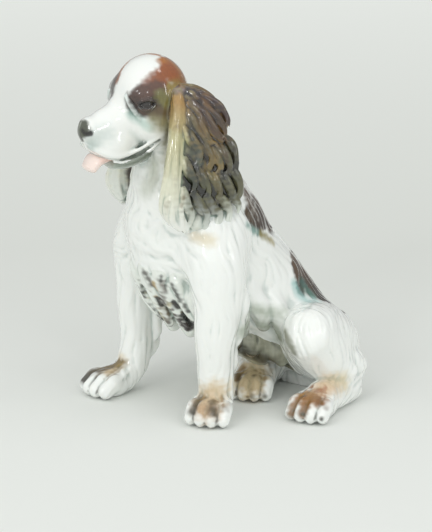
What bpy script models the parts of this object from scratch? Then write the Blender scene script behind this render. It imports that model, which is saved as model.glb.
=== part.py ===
"""Sitting spaniel in glazed porcelain, as the separately cast parts that are luted with slip into one figure.

Frame: +X is the dog's left, -Y the way it faces, +Z up. The table is at z = 0, under the middle of the figure.
Sizes are in millimetres, and MM turns them into metres where a mesh is made.
"""

from collections import namedtuple
from math import cos, pi, radians, sin

import bmesh
import bpy
import numpy as np
from mathutils import Euler, Matrix, Vector

MM = 0.001

# The figure's overall size. The tables below are drawn for the drawn size, and are stretched to this one.
FIGURE_WIDTH = 160.8
FIGURE_LENGTH = 215.4
FIGURE_HEIGHT = 235.0
DRAWN_WIDTH, DRAWN_LENGTH, DRAWN_HEIGHT = 160.8, 215.4, 235.0
STRETCH = Vector((FIGURE_WIDTH / DRAWN_WIDTH, FIGURE_LENGTH / DRAWN_LENGTH, FIGURE_HEIGHT / DRAWN_HEIGHT))
GIRTH = sum(STRETCH) / 3

# Casting: the wall that is left when the slip is drained, the seam between two castings,
# and the vents that let hot air out of each hollow in the kiln.
WALL = 4.0
SEAM = 0.3
VENT_BORE = 3.0
VENT_REACH = 8 * WALL
# Edges shorter than this are left-overs of a join, and are closed up.
SLIVER = 0.001

# How finely the forms are faceted: round a limb, along it between two sections, and round the smaller forms.
LIMB_FACETS = 16
LIMB_STEPS = 2
BALL_RINGS = 8
SMALL_FACETS = 12
CAVITY_FACETS = 10
LOCK_FACETS = 8
FINE_LOCK_FACETS = 6
TOE_FACETS = 8
TOE_RINGS = 6

# A swept form closes in a dome: its height as a share of the thinner half size, and its two rings in degrees.
DOME = 0.6
DOME_RINGS = (35, 65)
# A fine lock swells just past its root and thins to its tip: shares of its length, and of its radius there
LOCK_PLACES = (0, 0.2, 0.6, 0.85, 1)
LOCK_SWELL = (0.7, 1, 0.85, 0.5, 0.35)

# One cross-section of a swept form: its centre, and half its size across and half its size deep.
Section = namedtuple("Section", "x y z across deep")
# A ball of clay on the head: its distance from the head's middle plane, y, z, and its three half sizes.
Ball = namedtuple("Ball", "out y z wide long high")

# Torso, from the top of the neck down the spine to the seat
NECK_TOP = Section(0, -56, 184, 21, 20)
NECK = Section(0, -54, 165, 27, 26)
COLLAR = Section(0, -47, 143, 36, 38)
SHOULDERS = Section(0, -38, 116, 40, 45)
CHEST = Section(0, -20, 92, 41, 42)
WAIST = Section(2, 6, 70, 37, 35)
LOIN = Section(3, 29, 49, 36, 28)
HIPS = Section(3, 44, 32, 36, 25)
RUMP = Section(2, 52, 20, 31, 24)
SEAT = Section(2, 54, 5, 27, 22)
# Flank feathering that is pressed on the torso
FLANK_LOCKS = [
    [Section(35, -34, 88, 7, 8), Section(37, -28, 70, 8, 7), Section(36, -22, 52, 3, 3)],
    [Section(35, -20, 84, 7, 8), Section(37, -12, 69, 8, 7), Section(36, -6, 54, 3, 3)],
    [Section(34, -4, 76, 7, 8), Section(37, 3, 61, 8, 7), Section(36, 10, 46, 3, 3)],
    [Section(-35, -28, 86, 7, 8), Section(-37, -21, 69, 8, 7), Section(-36, -15, 52, 3, 3)],
    [Section(-34, -10, 78, 7, 8), Section(-36, -3, 63, 8, 7), Section(-35, 4, 47, 3, 3)],
]
TORSO = [NECK_TOP, NECK, COLLAR, SHOULDERS, CHEST, WAIST, LOIN, HIPS, RUMP, SEAT]

# The head's centre, carried on the neck. The tables of the head, jaw, tongue and ears count from it.
HEAD_ASIDE = -2
HEAD_FORWARD = 4
HEAD_RISE = 24
HEAD_AT = Vector((HEAD_ASIDE, NECK_TOP.y - HEAD_FORWARD, NECK_TOP.z + HEAD_RISE))

# Skull, and the muzzle from inside it to the nose
CRANIUM = Ball(0, -9, -1, 25, 25, 28)
MUZZLE = [
    Section(0, -14, -10, 18, 18),
    Section(0, -24, -13, 16.5, 17),
    Section(0, -34, -17, 13.5, 15),
    Section(0, -43, -20, 12.5, 14),
    Section(0, -52, -22, 11, 11.5),
]
CHEEK = Ball(15, -8, -17, 9, 16, 13)
BROW = Ball(12, -22, 4, 10, 9, 7)
EYEBALL = Ball(15.5, -23, -4, 6, 6, 6)
FLEW = Ball(7, -38, -29, 8, 14, 9)
NOSE_LEATHER = Ball(0, -57, -18, 7, 5, 6)

# Lower jaw, and the tongue that hangs over its front
JAW = [
    Section(0, -4, -27, 15, 8),
    Section(0, -18, -35, 13, 7),
    Section(0, -30, -40, 11, 5.5),
    Section(0, -39, -41, 9, 4),
]
TONGUE = [
    Section(0, -32, -35, 8, 2.5),
    Section(0, -42, -36, 9, 3.5),
    Section(0, -50, -38, 9.5, 4.5),
    Section(0, -54, -43, 8, 4),
]

# Ears, measured outwards from the head's middle plane: the leather of the flap, the ribs that fill it out,
# and the roll along its front edge. The right ear hangs a little nearer the throat.
EAR_LEATHER = [
    Section(22, 6, 5, 11, 4),
    Section(29, 2, -14, 13, 4.5),
    Section(33, 4, -38, 15, 5),
    Section(36, 6, -58, 17, 5),
    Section(38, 7, -66, 13, 4),
]
EAR_RIBS = [
    [Section(25, 1, 3, 6, 4), Section(31, -5, -14, 7, 4.5), Section(35, -9, -36, 7, 5), Section(39, -11, -60, 8, 5),
     Section(40, -7, -76, 5, 4)],
    [Section(26, 3, 5, 6, 4), Section(34, -4, -14, 7, 4.5), Section(38, -6, -36, 7, 5), Section(42, -2, -62, 8, 5),
     Section(43, 1, -78, 4, 4)],
    [Section(26, 6, 5, 6, 4), Section(35, 2, -12, 7, 4.5), Section(40, 1, -34, 7, 5), Section(43, 8, -58, 8, 5),
     Section(44, 10, -70, 4, 4)],
    [Section(24, 9, 3, 6, 4), Section(33, 8, -14, 7, 4.5), Section(39, 9, -36, 7, 5), Section(42, 16, -56, 8, 5),
     Section(44, 19, -66, 4, 4)],
    [Section(22, 10, -3, 6, 4.5), Section(29, 17, -19, 7, 5), Section(35, 21, -36, 8, 5.5),
     Section(40, 24, -52, 8, 5.5), Section(43, 26, -60, 5, 4)],
]
EAR_ROLL = [
    Section(25, -2, 4, 4.2, 4.2),
    Section(30, -5, -2, 4.8, 4.8),
    Section(34, -8, -10, 5.0, 5.0),
    Section(38, -12, -24, 5.4, 5.4),
    Section(41, -16, -40, 6.0, 6.0),
    Section(43, -19, -53, 6.4, 6.4),
    Section(43, -20, -64, 5.8, 5.8),
    Section(42, -17, -74, 3.4, 3.4),
]
# Locks of hair on an ear: the lock's radius, then its path from root to tip. The first five swirl round the root.
EAR_LOCKS = [
    (4.2, (27, 2, 6), (31, 7, 3), (33, 15, -1), (35, 21, -5), (38, 25, -12), (40, 24, -18)),
    (4.4, (30, 1, 3), (33, 6, -2), (36, 12, -7), (38, 18, -12), (40, 22, -19), (41, 21, -24)),
    (4.4, (32, 1, -1), (35, 6, -6), (38, 10, -12), (40, 14, -18), (42, 18, -24), (41, 23, -24)),
    (4.0, (34, 0, -6), (38, 3, -12), (40, 6, -18), (42, 10, -24), (41, 17, -27)),
    (3.8, (24, 0, 8), (26, 9, 5), (29, 16, 1), (32, 22, -5), (35, 26, -12)),
    (3.6, (38, -6, -15), (41, -3, -22), (42, 2, -29), (44, 2, -36), (44, -2, -41)),
    (3.6, (40, 1, -22), (42, 7, -29), (44, 10, -36), (44, 6, -43)),
    (3.6, (41, 8, -27), (44, 13, -34), (45, 16, -41), (45, 11, -48)),
    (3.6, (41, 15, -27), (44, 20, -34), (45, 23, -42), (45, 20, -49)),
    (3.2, (40, 22, -23), (42, 27, -30), (44, 28, -38), (45, 27, -46)),
    (3.5, (42, -9, -33), (45, -7, -41), (46, -3, -49), (47, -6, -57)),
    (3.5, (44, -1, -40), (46, 3, -48), (47, 6, -55), (47, 2, -62)),
    (3.5, (44, 7, -44), (46, 12, -50), (48, 14, -58), (47, 11, -65)),
    (3.5, (44, 15, -44), (46, 20, -51), (48, 23, -59), (46, 21, -66)),
    (3.2, (44, 23, -42), (46, 28, -49), (47, 30, -57), (47, 28, -64)),
    (3.6, (46, -12, -52), (48, -11, -60), (47, -6, -69), (44, -7, -78)),
    (3.6, (46, -5, -55), (47, 0, -64), (47, 5, -71), (46, 3, -79)),
    (3.5, (47, 4, -58), (47, 9, -66), (47, 15, -71), (47, 13, -78)),
    (3.4, (47, 13, -59), (47, 19, -65), (47, 22, -70), (48, 21, -76)),
    (3.0, (47, 22, -58), (47, 26, -63), (47, 29, -67), (48, 28, -72)),
    (4.0, (46, -20, -56), (47, -22, -63), (45, -19, -72), (44, -13, -80)),
    (3.8, (46, -16, -56), (47, -16, -64), (45, -12, -74), (44, -8, -82)),
]
EAR_RIGHT_SHIFT = Vector((3, 6, 0))

# Forelegs, from the shoulder down to the pastern, and the way each paw points (degrees from -Y towards +X)
FORELEG_LEFT = [
    Section(SHOULDERS.across - 18, -36, 138, 13, 20),
    Section(SHOULDERS.across - 7, -41, 124, 15, 21),
    Section(SHOULDERS.across + 2, -46, 105, 16, 19),
    Section(CHEST.across + 4, -46, 82, 14, 16),
    Section(45, -48, 58, 12, 13),
    Section(43, -47, 34, 10.5, 11),
    Section(44, -47, 14, 10, 11),
]
FORELEG_RIGHT = [
    Section(18 - SHOULDERS.across, -40, 136, 13, 20),
    Section(7 - SHOULDERS.across, -49, 121, 15, 20),
    Section(-SHOULDERS.across, -57, 100, 15, 18),
    Section(-CHEST.across, -60, 78, 12, 13),
    Section(-40, -61, 55, 10.5, 11.5),
    Section(-38, -62, 34, 9.5, 10),
    Section(-37, -66, 18, 9.5, 10),
    Section(-36, -74, 10, 10, 9),
]
FORELEG_HOLLOW = slice(2, 6)
FORE_PAW_TURN_LEFT = 44
FORE_PAW_TURN_RIGHT = 8

# Hind legs: the folded thigh, the shin back to the hock, and the foot along the table
THIGH_LEFT = [
    Section(HIPS.x + HIPS.across - 9, 45, 32, 23, 23),
    Section(44, 33, 40, 23, 24),
    Section(55, 20, 49, 18.5, 20),
    Section(63, 10, 54, 14, 15),
]
SHIN_LEFT = [
    Section(62, 14, 49, 14, 14),
    Section(60, 28, 33, 13, 14),
    Section(56, 44, 14, 10, 11),
]
FOOT_LEFT = [
    Section(56, 48, 9, 9, 10),
    Section(64, 32, 9, 10, 10),
    Section(72, 16, 10, 11, 11),
]
THIGH_RIGHT = [
    Section(HIPS.x - HIPS.across + 8, 50, 32, 24, 25),
    Section(-38, 34, 39, 23, 25),
    Section(-45, 18, 43, 18.5, 20),
    Section(-47, 6, 44, 14, 15),
]
SHIN_RIGHT = [
    Section(-43, 10, 38, 13, 14),
    Section(-28, 20, 26, 13, 14),
    Section(-12, 25, 14, 12, 12),
]
FOOT_RIGHT = [
    Section(-12, 25, 11, 12, 12),
    Section(-2, 14, 13, 15, 14),
    Section(11, 3, 11, 13, 12),
]
THIGH_HOLLOW = slice(0, 4)
HIND_PAW_TURN_LEFT = 34
HIND_PAW_TURN_RIGHT = 48

# Paws: half sizes of the pad and of one toe, and how the four toes fan out
PAD = Vector((13, 13.5, 10))
TOE = Vector((5, 8.5, 8))
TOE_SPREAD = (-1.5, -0.5, 0.5, 1.5)
TOE_SPACING = 7
TOE_REACH = 12
OUTER_TOE_SETBACK = 0.11
PAW_RISE = 7.5
PAW_AHEAD = 10

# Tail: a docked stub that curls to the dog's right along the table
TAIL = [
    Section(RUMP.x, RUMP.y + 12, 20, 9, 9),
    Section(-3, 78, 14, 8, 9),
    Section(-15, 85, 8, 7, 9),
    Section(-28, 84, 5.5, 5, 7),
]

# Feathering that is cast apart: the locks between the forelegs, and the keel and locks under the belly
CHEST_LOCKS = [
    [Section(-14, -68, 92, 9, 7), Section(-14, -64, 76, 8, 7), Section(-10, -59, 62, 4, 4)],
    [Section(0, -68, 90, 9, 7), Section(2, -61, 71, 9, 8), Section(3, -55, 54, 4, 4)],
    [Section(13, -62, 88, 9, 7), Section(14, -55, 69, 8, 8), Section(16, -49, 52, 4, 4)],
    [Section(23, -52, 84, 8, 7), Section(24, -46, 65, 7, 7), Section(26, -41, 50, 3, 3)],
]
BELLY_KEEL = [
    Section(2, -36, 58, 13, 9),
    Section(8, -14, 45, 15, 12),
    Section(15, 7, 33, 13, 12),
]
BELLY_LOCKS = [
    [Section(12, -22, 54, 7, 8), Section(19, -21, 46, 6, 7), Section(22, -20, 39, 3, 3)],
    [Section(14, -10, 48, 7, 8), Section(21, -8, 40, 6, 7), Section(24, -7, 33, 3, 3)],
    [Section(18, 8, 38, 7, 8), Section(25, 11, 31, 6, 7), Section(27, 14, 24, 3, 3)],
    [Section(16, 14, 34, 8, 8), Section(24, 24, 25, 7, 7), Section(27, 29, 17, 3, 3)],
    [Section(4, -6, 44, 7, 8), Section(-6, -3, 37, 6, 7), Section(-9, -1, 30, 3, 3)],
]

# Vents: where each starts and ends. The seat's opens under the figure, the others join two hollows.
SEAT_AT = Vector((SEAT.x, SEAT.y, 0))
NECK_VENT = (NECK_TOP[:3], (NECK_TOP.x, NECK_TOP.y, NECK_TOP.z + VENT_REACH))
SHOULDER_VENT_RISE = 92
SHOULDER_VENT_DROP = 6

# The table that trims the underside
TABLE_SPAN = 600
TABLE_DEPTH = 100

# Glaze of each casting: colour, as linear red, green and blue, and roughness
WHITE = (0.80, 0.80, 0.77)
GLAZES = {
    "torso": (WHITE, 0.12),
    "head": ((0.58, 0.42, 0.30), 0.10),
    "lower_jaw": ((0.30, 0.32, 0.28), 0.12),
    "tongue": ((0.80, 0.50, 0.42), 0.10),
    "ear_left": ((0.14, 0.09, 0.05), 0.10),
    "ear_right": ((0.16, 0.10, 0.06), 0.10),
    "foreleg_left": (WHITE, 0.12),
    "foreleg_right": (WHITE, 0.12),
    "hind_leg_left": (WHITE, 0.12),
    "hind_leg_right": ((0.74, 0.71, 0.62), 0.12),
    "tail": (WHITE, 0.12),
    "chest_feathering": ((0.24, 0.28, 0.25), 0.14),
    "belly_feathering": ((0.42, 0.43, 0.35), 0.14),
}

ACROSS = Vector((1, 0, 0))
BACKWARD = Vector((0, 1, 0))


def stretched(point):
    """A point of the drawn tables, at the figure's own size, in metres."""
    return Vector(a * b for a, b in zip(point, STRETCH)) * MM


def smooth_path(sections):
    """Catmull-Rom curve through the sections, as rows of x, y, z, across and deep at the figure's own size."""
    rows = np.array(sections, float) * [*STRETCH, GIRTH, GIRTH]
    rows = np.vstack([2 * rows[0] - rows[1], rows, 2 * rows[-1] - rows[-2]])
    t = np.linspace(0, 1, LIMB_STEPS, endpoint=False)[:, None]
    spans = [
        0.5 * (2 * b + (c - a) * t + (2 * a - 5 * b + 4 * c - d) * t**2 + (3 * b - a - 3 * c + d) * t**3)
        for a, b, c, d in zip(rows, rows[1:], rows[2:], rows[3:])
    ]
    return np.vstack([*spans, rows[-2]])


def add_object(name, mesh):
    """Turns a finished bmesh into an object of the scene."""
    bmesh.ops.recalc_face_normals(mesh, faces=mesh.faces)
    data = bpy.data.meshes.new(name)
    mesh.to_mesh(data)
    mesh.free()
    made = bpy.data.objects.new(name, data)
    bpy.context.scene.collection.objects.link(made)
    return made


def sweep(name, sections, across=ACROSS, grow=0.0, facets=LIMB_FACETS):
    """A closed body through the sections, each an ellipse, with a dome at both ends. It can be grown or shrunk."""
    rows = smooth_path(sections)
    centres, half = rows[:, :3], rows[:, 3:] + grow
    reach = DOME * rows[:, 3:].min(axis=1) + grow
    tangents = np.gradient(centres, axis=0)
    tangents /= np.linalg.norm(tangents, axis=1)[:, None]
    sides = np.array(across) - (tangents @ np.array(across))[:, None] * tangents
    sides /= np.linalg.norm(sides, axis=1)[:, None]
    depths = np.cross(tangents, sides)
    last = len(rows) - 1
    rings = [(0, -sin(radians(a)), cos(radians(a))) for a in reversed(DOME_RINGS)]
    rings += [(i, 0.0, 1.0) for i in range(last + 1)]
    rings += [(last, sin(radians(a)), cos(radians(a))) for a in DOME_RINGS]
    turn = np.linspace(0, 2 * pi, facets, endpoint=False)[:, None]
    mesh = bmesh.new()
    loops = []
    for i, out, share in rings:
        centre = centres[i] + tangents[i] * reach[i] * out
        rim = centre + share * (np.cos(turn) * sides[i] * half[i, 0] + np.sin(turn) * depths[i] * half[i, 1])
        loops.append([mesh.verts.new(Vector(point) * MM) for point in rim])
    for low, high in zip(loops, loops[1:]):
        for j in range(facets):
            mesh.faces.new((low[j - 1], low[j], high[j], high[j - 1]))
    for i, out, loop in ((0, -1, loops[0]), (last, 1, loops[-1])):
        tip = mesh.verts.new(Vector(centres[i] + tangents[i] * reach[i] * out) * MM)
        for j in range(facets):
            mesh.faces.new((loop[j - 1], loop[j], tip))
    return add_object(name, mesh)


def ball(centre, half, turn=0.0, grow=0.0, facets=LIMB_FACETS, rings=BALL_RINGS):
    """An ellipsoid, turned about the vertical by degrees from -Y towards +X."""
    mesh = bmesh.new()
    placed = Matrix.Translation(stretched(centre)) @ Euler((0, 0, radians(turn))).to_matrix().to_4x4()
    shaped = placed @ Matrix.Diagonal((*(GIRTH * h + grow for h in half), 1))
    bmesh.ops.create_uvsphere(mesh, u_segments=facets, v_segments=rings, radius=MM, matrix=shaped)
    return add_object("ball", mesh)


def vent(start, end):
    """A round cutter from one point of the tables to another."""
    start, end = stretched(start), stretched(end)
    radius = VENT_BORE * MM / 2
    mesh = bmesh.new()
    placed = Matrix.Translation((start + end) / 2) @ (end - start).to_track_quat("Z", "Y").to_matrix().to_4x4()
    bmesh.ops.create_cone(mesh, cap_ends=True, segments=CAVITY_FACETS, radius1=radius, radius2=radius,
                          depth=(end - start).length, matrix=placed)
    return add_object("vent", mesh)


def table(top=0.0):
    """A wide block up to a height, to cut a flat underside."""
    mesh = bmesh.new()
    placed = Matrix.Translation(Vector((0, 0, top - TABLE_DEPTH / 2)) * MM)
    size = Vector((TABLE_SPAN, TABLE_SPAN, TABLE_DEPTH)) * MM
    bmesh.ops.create_cube(mesh, size=1, matrix=placed @ Matrix.Diagonal((*size, 1)))
    return add_object("table", mesh)


def combine(body, tools, operation):
    """Joins tools to a body, or cuts them away, in one exact Boolean, and removes them."""
    group = bpy.data.collections.new("tools")
    for tool in tools:
        group.objects.link(tool)
    step = body.modifiers.new("step", "BOOLEAN")
    step.operation = operation
    step.solver = "EXACT"
    step.operand_type = "COLLECTION"
    step.collection = group
    graph = bpy.context.evaluated_depsgraph_get()
    data = bpy.data.meshes.new_from_object(body.evaluated_get(graph))
    body.modifiers.clear()
    body.data = data
    for tool in tools:
        bpy.data.objects.remove(tool)
    bpy.data.collections.remove(group)
    return body


def join(body, *tools):
    return combine(body, tools, "UNION")


def filled(body):
    """Fills the bubbles trapped between joined bodies, by keeping the largest shell alone, and welds slivers."""
    mesh = bmesh.new()
    mesh.from_mesh(body.data)
    shells, left = [], set(mesh.verts)
    while left:
        shell = set()
        fresh = {left.pop()}
        while fresh:
            shell |= fresh
            fresh = {edge.other_vert(vertex) for vertex in fresh for edge in vertex.link_edges} - shell
        left -= shell
        shells.append(shell)
    outer = max(shells, key=len)
    bubbles = [vertex for shell in shells if shell is not outer for vertex in shell]
    bmesh.ops.delete(mesh, geom=bubbles, context="VERTS")
    bmesh.ops.remove_doubles(mesh, verts=mesh.verts, dist=SLIVER * MM)
    bmesh.ops.dissolve_degenerate(mesh, dist=SLIVER * MM, edges=mesh.edges)
    mesh.to_mesh(body.data)
    mesh.free()
    return body


def cut(body, *tools):
    """Cuts tools away one by one."""
    for tool in tools:
        combine(body, [tool], "DIFFERENCE")
    return body


def on_head(sections, side=1, shift=Vector((0, 0, 0))):
    """Sections of a table that counts from the head's centre, in the figure's frame."""
    return [
        Section(*(HEAD_AT + shift + Vector((side * s.x, s.y, s.z))), s.across, s.deep)
        for s in sections
    ]


def head_ball(spec, side=1, grow=0.0):
    centre = HEAD_AT + Vector((side * spec.out, spec.y, spec.z))
    return ball(centre, spec[3:], grow=grow, facets=SMALL_FACETS)


def locks(tables, across=ACROSS, grow=0.0):
    return [sweep("lock", table, across, grow, LOCK_FACETS) for table in tables]


def fine_lock(radius, path):
    """The sections of a round lock that tapers along a path."""
    shares = np.interp(np.linspace(0, 1, len(path)), LOCK_PLACES, LOCK_SWELL)
    return [Section(*point, radius * share, radius * share) for point, share in zip(path, shares)]


def paw(pastern, heading, grow=0.0):
    """A pad with four toes fanned across its front, ahead of the leg's last section."""
    ahead = Vector((sin(radians(heading)), -cos(radians(heading)), 0))
    aside = Vector((-ahead.y, ahead.x, 0))
    centre = Vector((pastern.x, pastern.y, PAW_RISE)) + ahead * PAW_AHEAD
    bodies = [ball(centre, PAD, heading, grow)]
    for step in TOE_SPREAD:
        reach = TOE_REACH * (1 - OUTER_TOE_SETBACK * step**2)
        at = centre + aside * step * TOE_SPACING + ahead * reach
        bodies.append(ball(at, TOE, heading + step * TOE_SPACING, grow, TOE_FACETS, TOE_RINGS))
    return bodies


def leg(chains, heading, grow):
    return [*(sweep("chain", chain, grow=grow) for chain in chains), *paw(chains[-1][-1], heading, grow)]


# Each form is a list of bodies: a casting joins them, and a casting that is fitted to it is cut by each.


def torso(grow=0.0):
    return [sweep("torso", TORSO, grow=grow), *locks(FLANK_LOCKS, grow=grow)]


def head(grow=0.0):
    bodies = [head_ball(CRANIUM, 1, grow), sweep("muzzle", on_head(MUZZLE), grow=grow)]
    for spec in (CHEEK, BROW, FLEW, EYEBALL):
        bodies += [head_ball(spec, side, grow) for side in (1, -1)]
    return bodies + [head_ball(NOSE_LEATHER, 1, grow)]


def lower_jaw(grow=0.0):
    return [sweep("jaw", on_head(JAW), grow=grow, facets=SMALL_FACETS)]


def tongue(grow=0.0):
    return [sweep("tongue", on_head(TONGUE), grow=grow, facets=SMALL_FACETS)]


def foreleg_left(grow=0.0):
    return leg([FORELEG_LEFT], FORE_PAW_TURN_LEFT, grow)


def foreleg_right(grow=0.0):
    return leg([FORELEG_RIGHT], FORE_PAW_TURN_RIGHT, grow)


def hind_leg_left(grow=0.0):
    return leg([THIGH_LEFT, SHIN_LEFT, FOOT_LEFT], HIND_PAW_TURN_LEFT, grow)


def hind_leg_right(grow=0.0):
    return leg([THIGH_RIGHT, SHIN_RIGHT, FOOT_RIGHT], HIND_PAW_TURN_RIGHT, grow)


def ear(side, shift):
    flap = sweep("flap", on_head(EAR_LEATHER, side, shift), BACKWARD, facets=SMALL_FACETS)
    ribs = locks([on_head(table, side, shift) for table in [*EAR_RIBS, EAR_ROLL]], BACKWARD)
    fine = [on_head(fine_lock(radius, path), side, shift) for radius, *path in EAR_LOCKS]
    return [flap, *ribs, *(sweep("lock", table, facets=FINE_LOCK_FACETS) for table in fine)]


def ear_left():
    return ear(1, Vector((0, 0, 0)))


def ear_right():
    return ear(-1, EAR_RIGHT_SHIFT)


def chest_feathering():
    return locks(CHEST_LOCKS)


def belly_feathering():
    return [sweep("keel", BELLY_KEEL, facets=SMALL_FACETS), *locks(BELLY_LOCKS)]


def tail():
    return [sweep("tail", TAIL, facets=SMALL_FACETS)]


# Each casting, and the ones it is scraped back to fit with a seam between them
CASTINGS = {
    torso: [],
    head: [torso],
    lower_jaw: [head, torso],
    tongue: [head, lower_jaw],
    foreleg_left: [torso],
    foreleg_right: [torso],
    hind_leg_left: [torso],
    hind_leg_right: [torso],
    ear_left: [head, torso, foreleg_left],
    ear_right: [head, torso, foreleg_right],
    chest_feathering: [torso, foreleg_left, foreleg_right],
    belly_feathering: [torso, hind_leg_left, hind_leg_right],
    tail: [torso, hind_leg_right],
}
# The sections that a slip-cast hollow follows, a wall inside the form. The head's follows its cranium,
# and the castings with none are pressed solid.
HOLLOWS = {
    torso: TORSO,
    foreleg_left: FORELEG_LEFT[FORELEG_HOLLOW],
    foreleg_right: FORELEG_RIGHT[FORELEG_HOLLOW],
    hind_leg_left: THIGH_LEFT[THIGH_HOLLOW],
    hind_leg_right: THIGH_RIGHT[THIGH_HOLLOW],
}
SHOULDER_AT = Vector((0, CHEST.y - SHOULDER_VENT_DROP, SHOULDER_VENT_RISE))
# Vents by the castings that each one goes through
VENTS = {
    (torso,): (SEAT_AT - Vector((0, 0, WALL)), SEAT_AT + Vector((0, 0, 3 * WALL))),
    (torso, head): NECK_VENT,
    (torso, foreleg_left): (SHOULDER_AT, FORELEG_LEFT[3][:3]),
    (torso, foreleg_right): (SHOULDER_AT, FORELEG_RIGHT[3][:3]),
    (torso, hind_leg_left): (LOIN[:3], THIGH_LEFT[1][:3]),
    (torso, hind_leg_right): (LOIN[:3], THIGH_RIGHT[1][:3]),
}


def neighbour_bodies(form, clearance):
    return [body for other in CASTINGS[form] for body in other(clearance)]


def hollow(form):
    """The hollow of a casting: it stands a wall clear of the table and of the castings it is fitted to."""
    if form is head:
        made = head_ball(CRANIUM, 1, -WALL)
    else:
        made = sweep("hollow", HOLLOWS[form], grow=-WALL, facets=CAVITY_FACETS)
    return cut(made, table(WALL), *neighbour_bodies(form, SEAM + WALL))


def glazed(made):
    """Gives a casting its own glaze."""
    (red, green, blue), roughness = GLAZES[made.name]
    glaze = bpy.data.materials.new(made.name + "_glaze")
    glaze.use_nodes = True
    surface = glaze.node_tree.nodes["Principled BSDF"].inputs
    surface["Base Color"].default_value = (red, green, blue, 1.0)
    surface["Roughness"].default_value = roughness
    surface["Metallic"].default_value = 0.0
    made.data.materials.clear()
    made.data.materials.append(glaze)
    return made


for old in list(bpy.data.objects):
    bpy.data.objects.remove(old)

figure = []
for form in CASTINGS:
    first, *rest = form()
    casting = cut(filled(join(first, *rest)), table(), *neighbour_bodies(form, SEAM))
    if form is head or form in HOLLOWS:
        cut(casting, hollow(form))
    cut(casting, *(vent(*ends) for through, ends in VENTS.items() if form in through))
    casting.name = casting.data.name = form.__name__
    figure.append(glazed(casting))

# The origin goes on the table, under the middle of the figure.
points = np.array([vertex.co for casting in figure for vertex in casting.data.vertices])
low, high = points.min(axis=0), points.max(axis=0)
to_origin = Matrix.Translation((-(low[0] + high[0]) / 2, -(low[1] + high[1]) / 2, -low[2]))
for casting in figure:
    casting.data.transform(to_origin)
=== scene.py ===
from collections import namedtuple

import bpy
import numpy as np
from mathutils import Matrix, Vector


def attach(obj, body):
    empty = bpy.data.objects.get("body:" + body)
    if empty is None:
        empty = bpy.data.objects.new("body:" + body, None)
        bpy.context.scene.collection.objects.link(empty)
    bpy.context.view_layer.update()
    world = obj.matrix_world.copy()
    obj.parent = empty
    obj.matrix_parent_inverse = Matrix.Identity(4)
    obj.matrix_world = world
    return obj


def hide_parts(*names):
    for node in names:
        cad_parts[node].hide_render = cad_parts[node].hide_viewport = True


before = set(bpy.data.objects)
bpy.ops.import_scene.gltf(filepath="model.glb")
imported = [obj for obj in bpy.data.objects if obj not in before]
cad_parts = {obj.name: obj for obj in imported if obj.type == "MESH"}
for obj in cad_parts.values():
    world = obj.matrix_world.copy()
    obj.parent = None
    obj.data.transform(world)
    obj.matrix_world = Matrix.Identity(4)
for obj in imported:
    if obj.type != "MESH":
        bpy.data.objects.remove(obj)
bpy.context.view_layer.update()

# The clay model: the modeller builds the whole dog up in clay on a board, and only then cuts it into the
# pieces that are moulded and cast. Each form is a roll, a ball or a strand of clay pressed onto the rest, so
# the sizes of all the pieces stand together here, in millimetres, with z = 0 on the board.
Block = namedtuple("Block", "low step shape")  # a grid of points in space
Form = namedtuple("Form", "low high measure blend")  # a box, the distance to the form, and its fillet


def smooth_path(rows, steps):
    """Catmull-Rom curve through the rows of a table, every column alike."""
    rows = np.array(rows, float)
    rows = np.vstack([2 * rows[0] - rows[1], rows, 2 * rows[-1] - rows[-2]])
    t = np.linspace(0, 1, steps, endpoint=False)[:, None]
    spans = [
        0.5 * (2 * b + (c - a) * t + (2 * a - 5 * b + 4 * c - d) * t**2 + (3 * b - a - 3 * c + d) * t**3)
        for a, b, c, d in zip(rows, rows[1:], rows[2:], rows[3:])
    ]
    return np.vstack([*spans, rows[-2]])


def directions(centres, across):
    """Unit tangents of a path, and the two directions square to them: across, and deep."""
    tangents = np.gradient(centres, axis=0)
    tangents /= np.linalg.norm(tangents, axis=1)[:, None]
    across = np.array(across, float)
    sides = across - (tangents @ across)[:, None] * tangents
    sides /= np.linalg.norm(sides, axis=1)[:, None]
    return tangents, sides, np.cross(tangents, sides)


def oval_distance(u, w, s2, a, b, e):
    """Signed distance to an ellipsoid with half-widths a, b and e, from the offsets u and w and the squared
    offset s2: k0 (k0 - 1) / k1, where k0 is the length of the offset over the half-widths, and k1 is its
    length over their squares."""
    k0 = np.sqrt(u * u / (a * a) + w * w / (b * b) + s2 / (e * e))
    k1 = np.sqrt(u * u / a**4 + w * w / b**4 + s2 / e**4)
    return k0 * (k0 - 1) / np.maximum(k1, 1e-4)


def upsampled(measure, step=2.0):
    """Works out a smooth field on a coarse grid, and carries it to the fine one by a Catmull-Rom curve
    on each axis."""

    def carried(x, y, z):
        axes, weights = [], []
        for value in (x.ravel(), y.ravel(), z.ravel()):
            start = value[0] - 2 * step
            count = int(np.ceil((value[-1] - start) / step)) + 3
            axes.append((start + step * np.arange(count)).astype(np.float32))
            at = (value - start) / step
            base = np.floor(at).astype(int)
            t = (at - base).astype(np.float32)
            weights.append((base, (-t / 2 + t**2 - t**3 / 2, 1 - 2.5 * t**2 + 1.5 * t**3,
                                   t / 2 + 2 * t**2 - 1.5 * t**3, -(t**2) / 2 + t**3 / 2)))
        x, y, z = axes
        field = measure(x[:, None, None], y[None, :, None], z[None, None, :]).astype(np.float32)
        for n, (base, parts) in enumerate(weights):
            shape = [1, 1, 1]
            shape[n] = -1
            field = sum(
                np.take(field, base + k - 1, axis=n) * part.reshape(shape) for k, part in enumerate(parts))
        return field

    return carried


DOME = 0.6  # the end of a roll bulges by this share of its smallest half-width
THIN = 4.0  # a roll that is thinner than this anywhere is worked out on the fine grid at once


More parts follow.
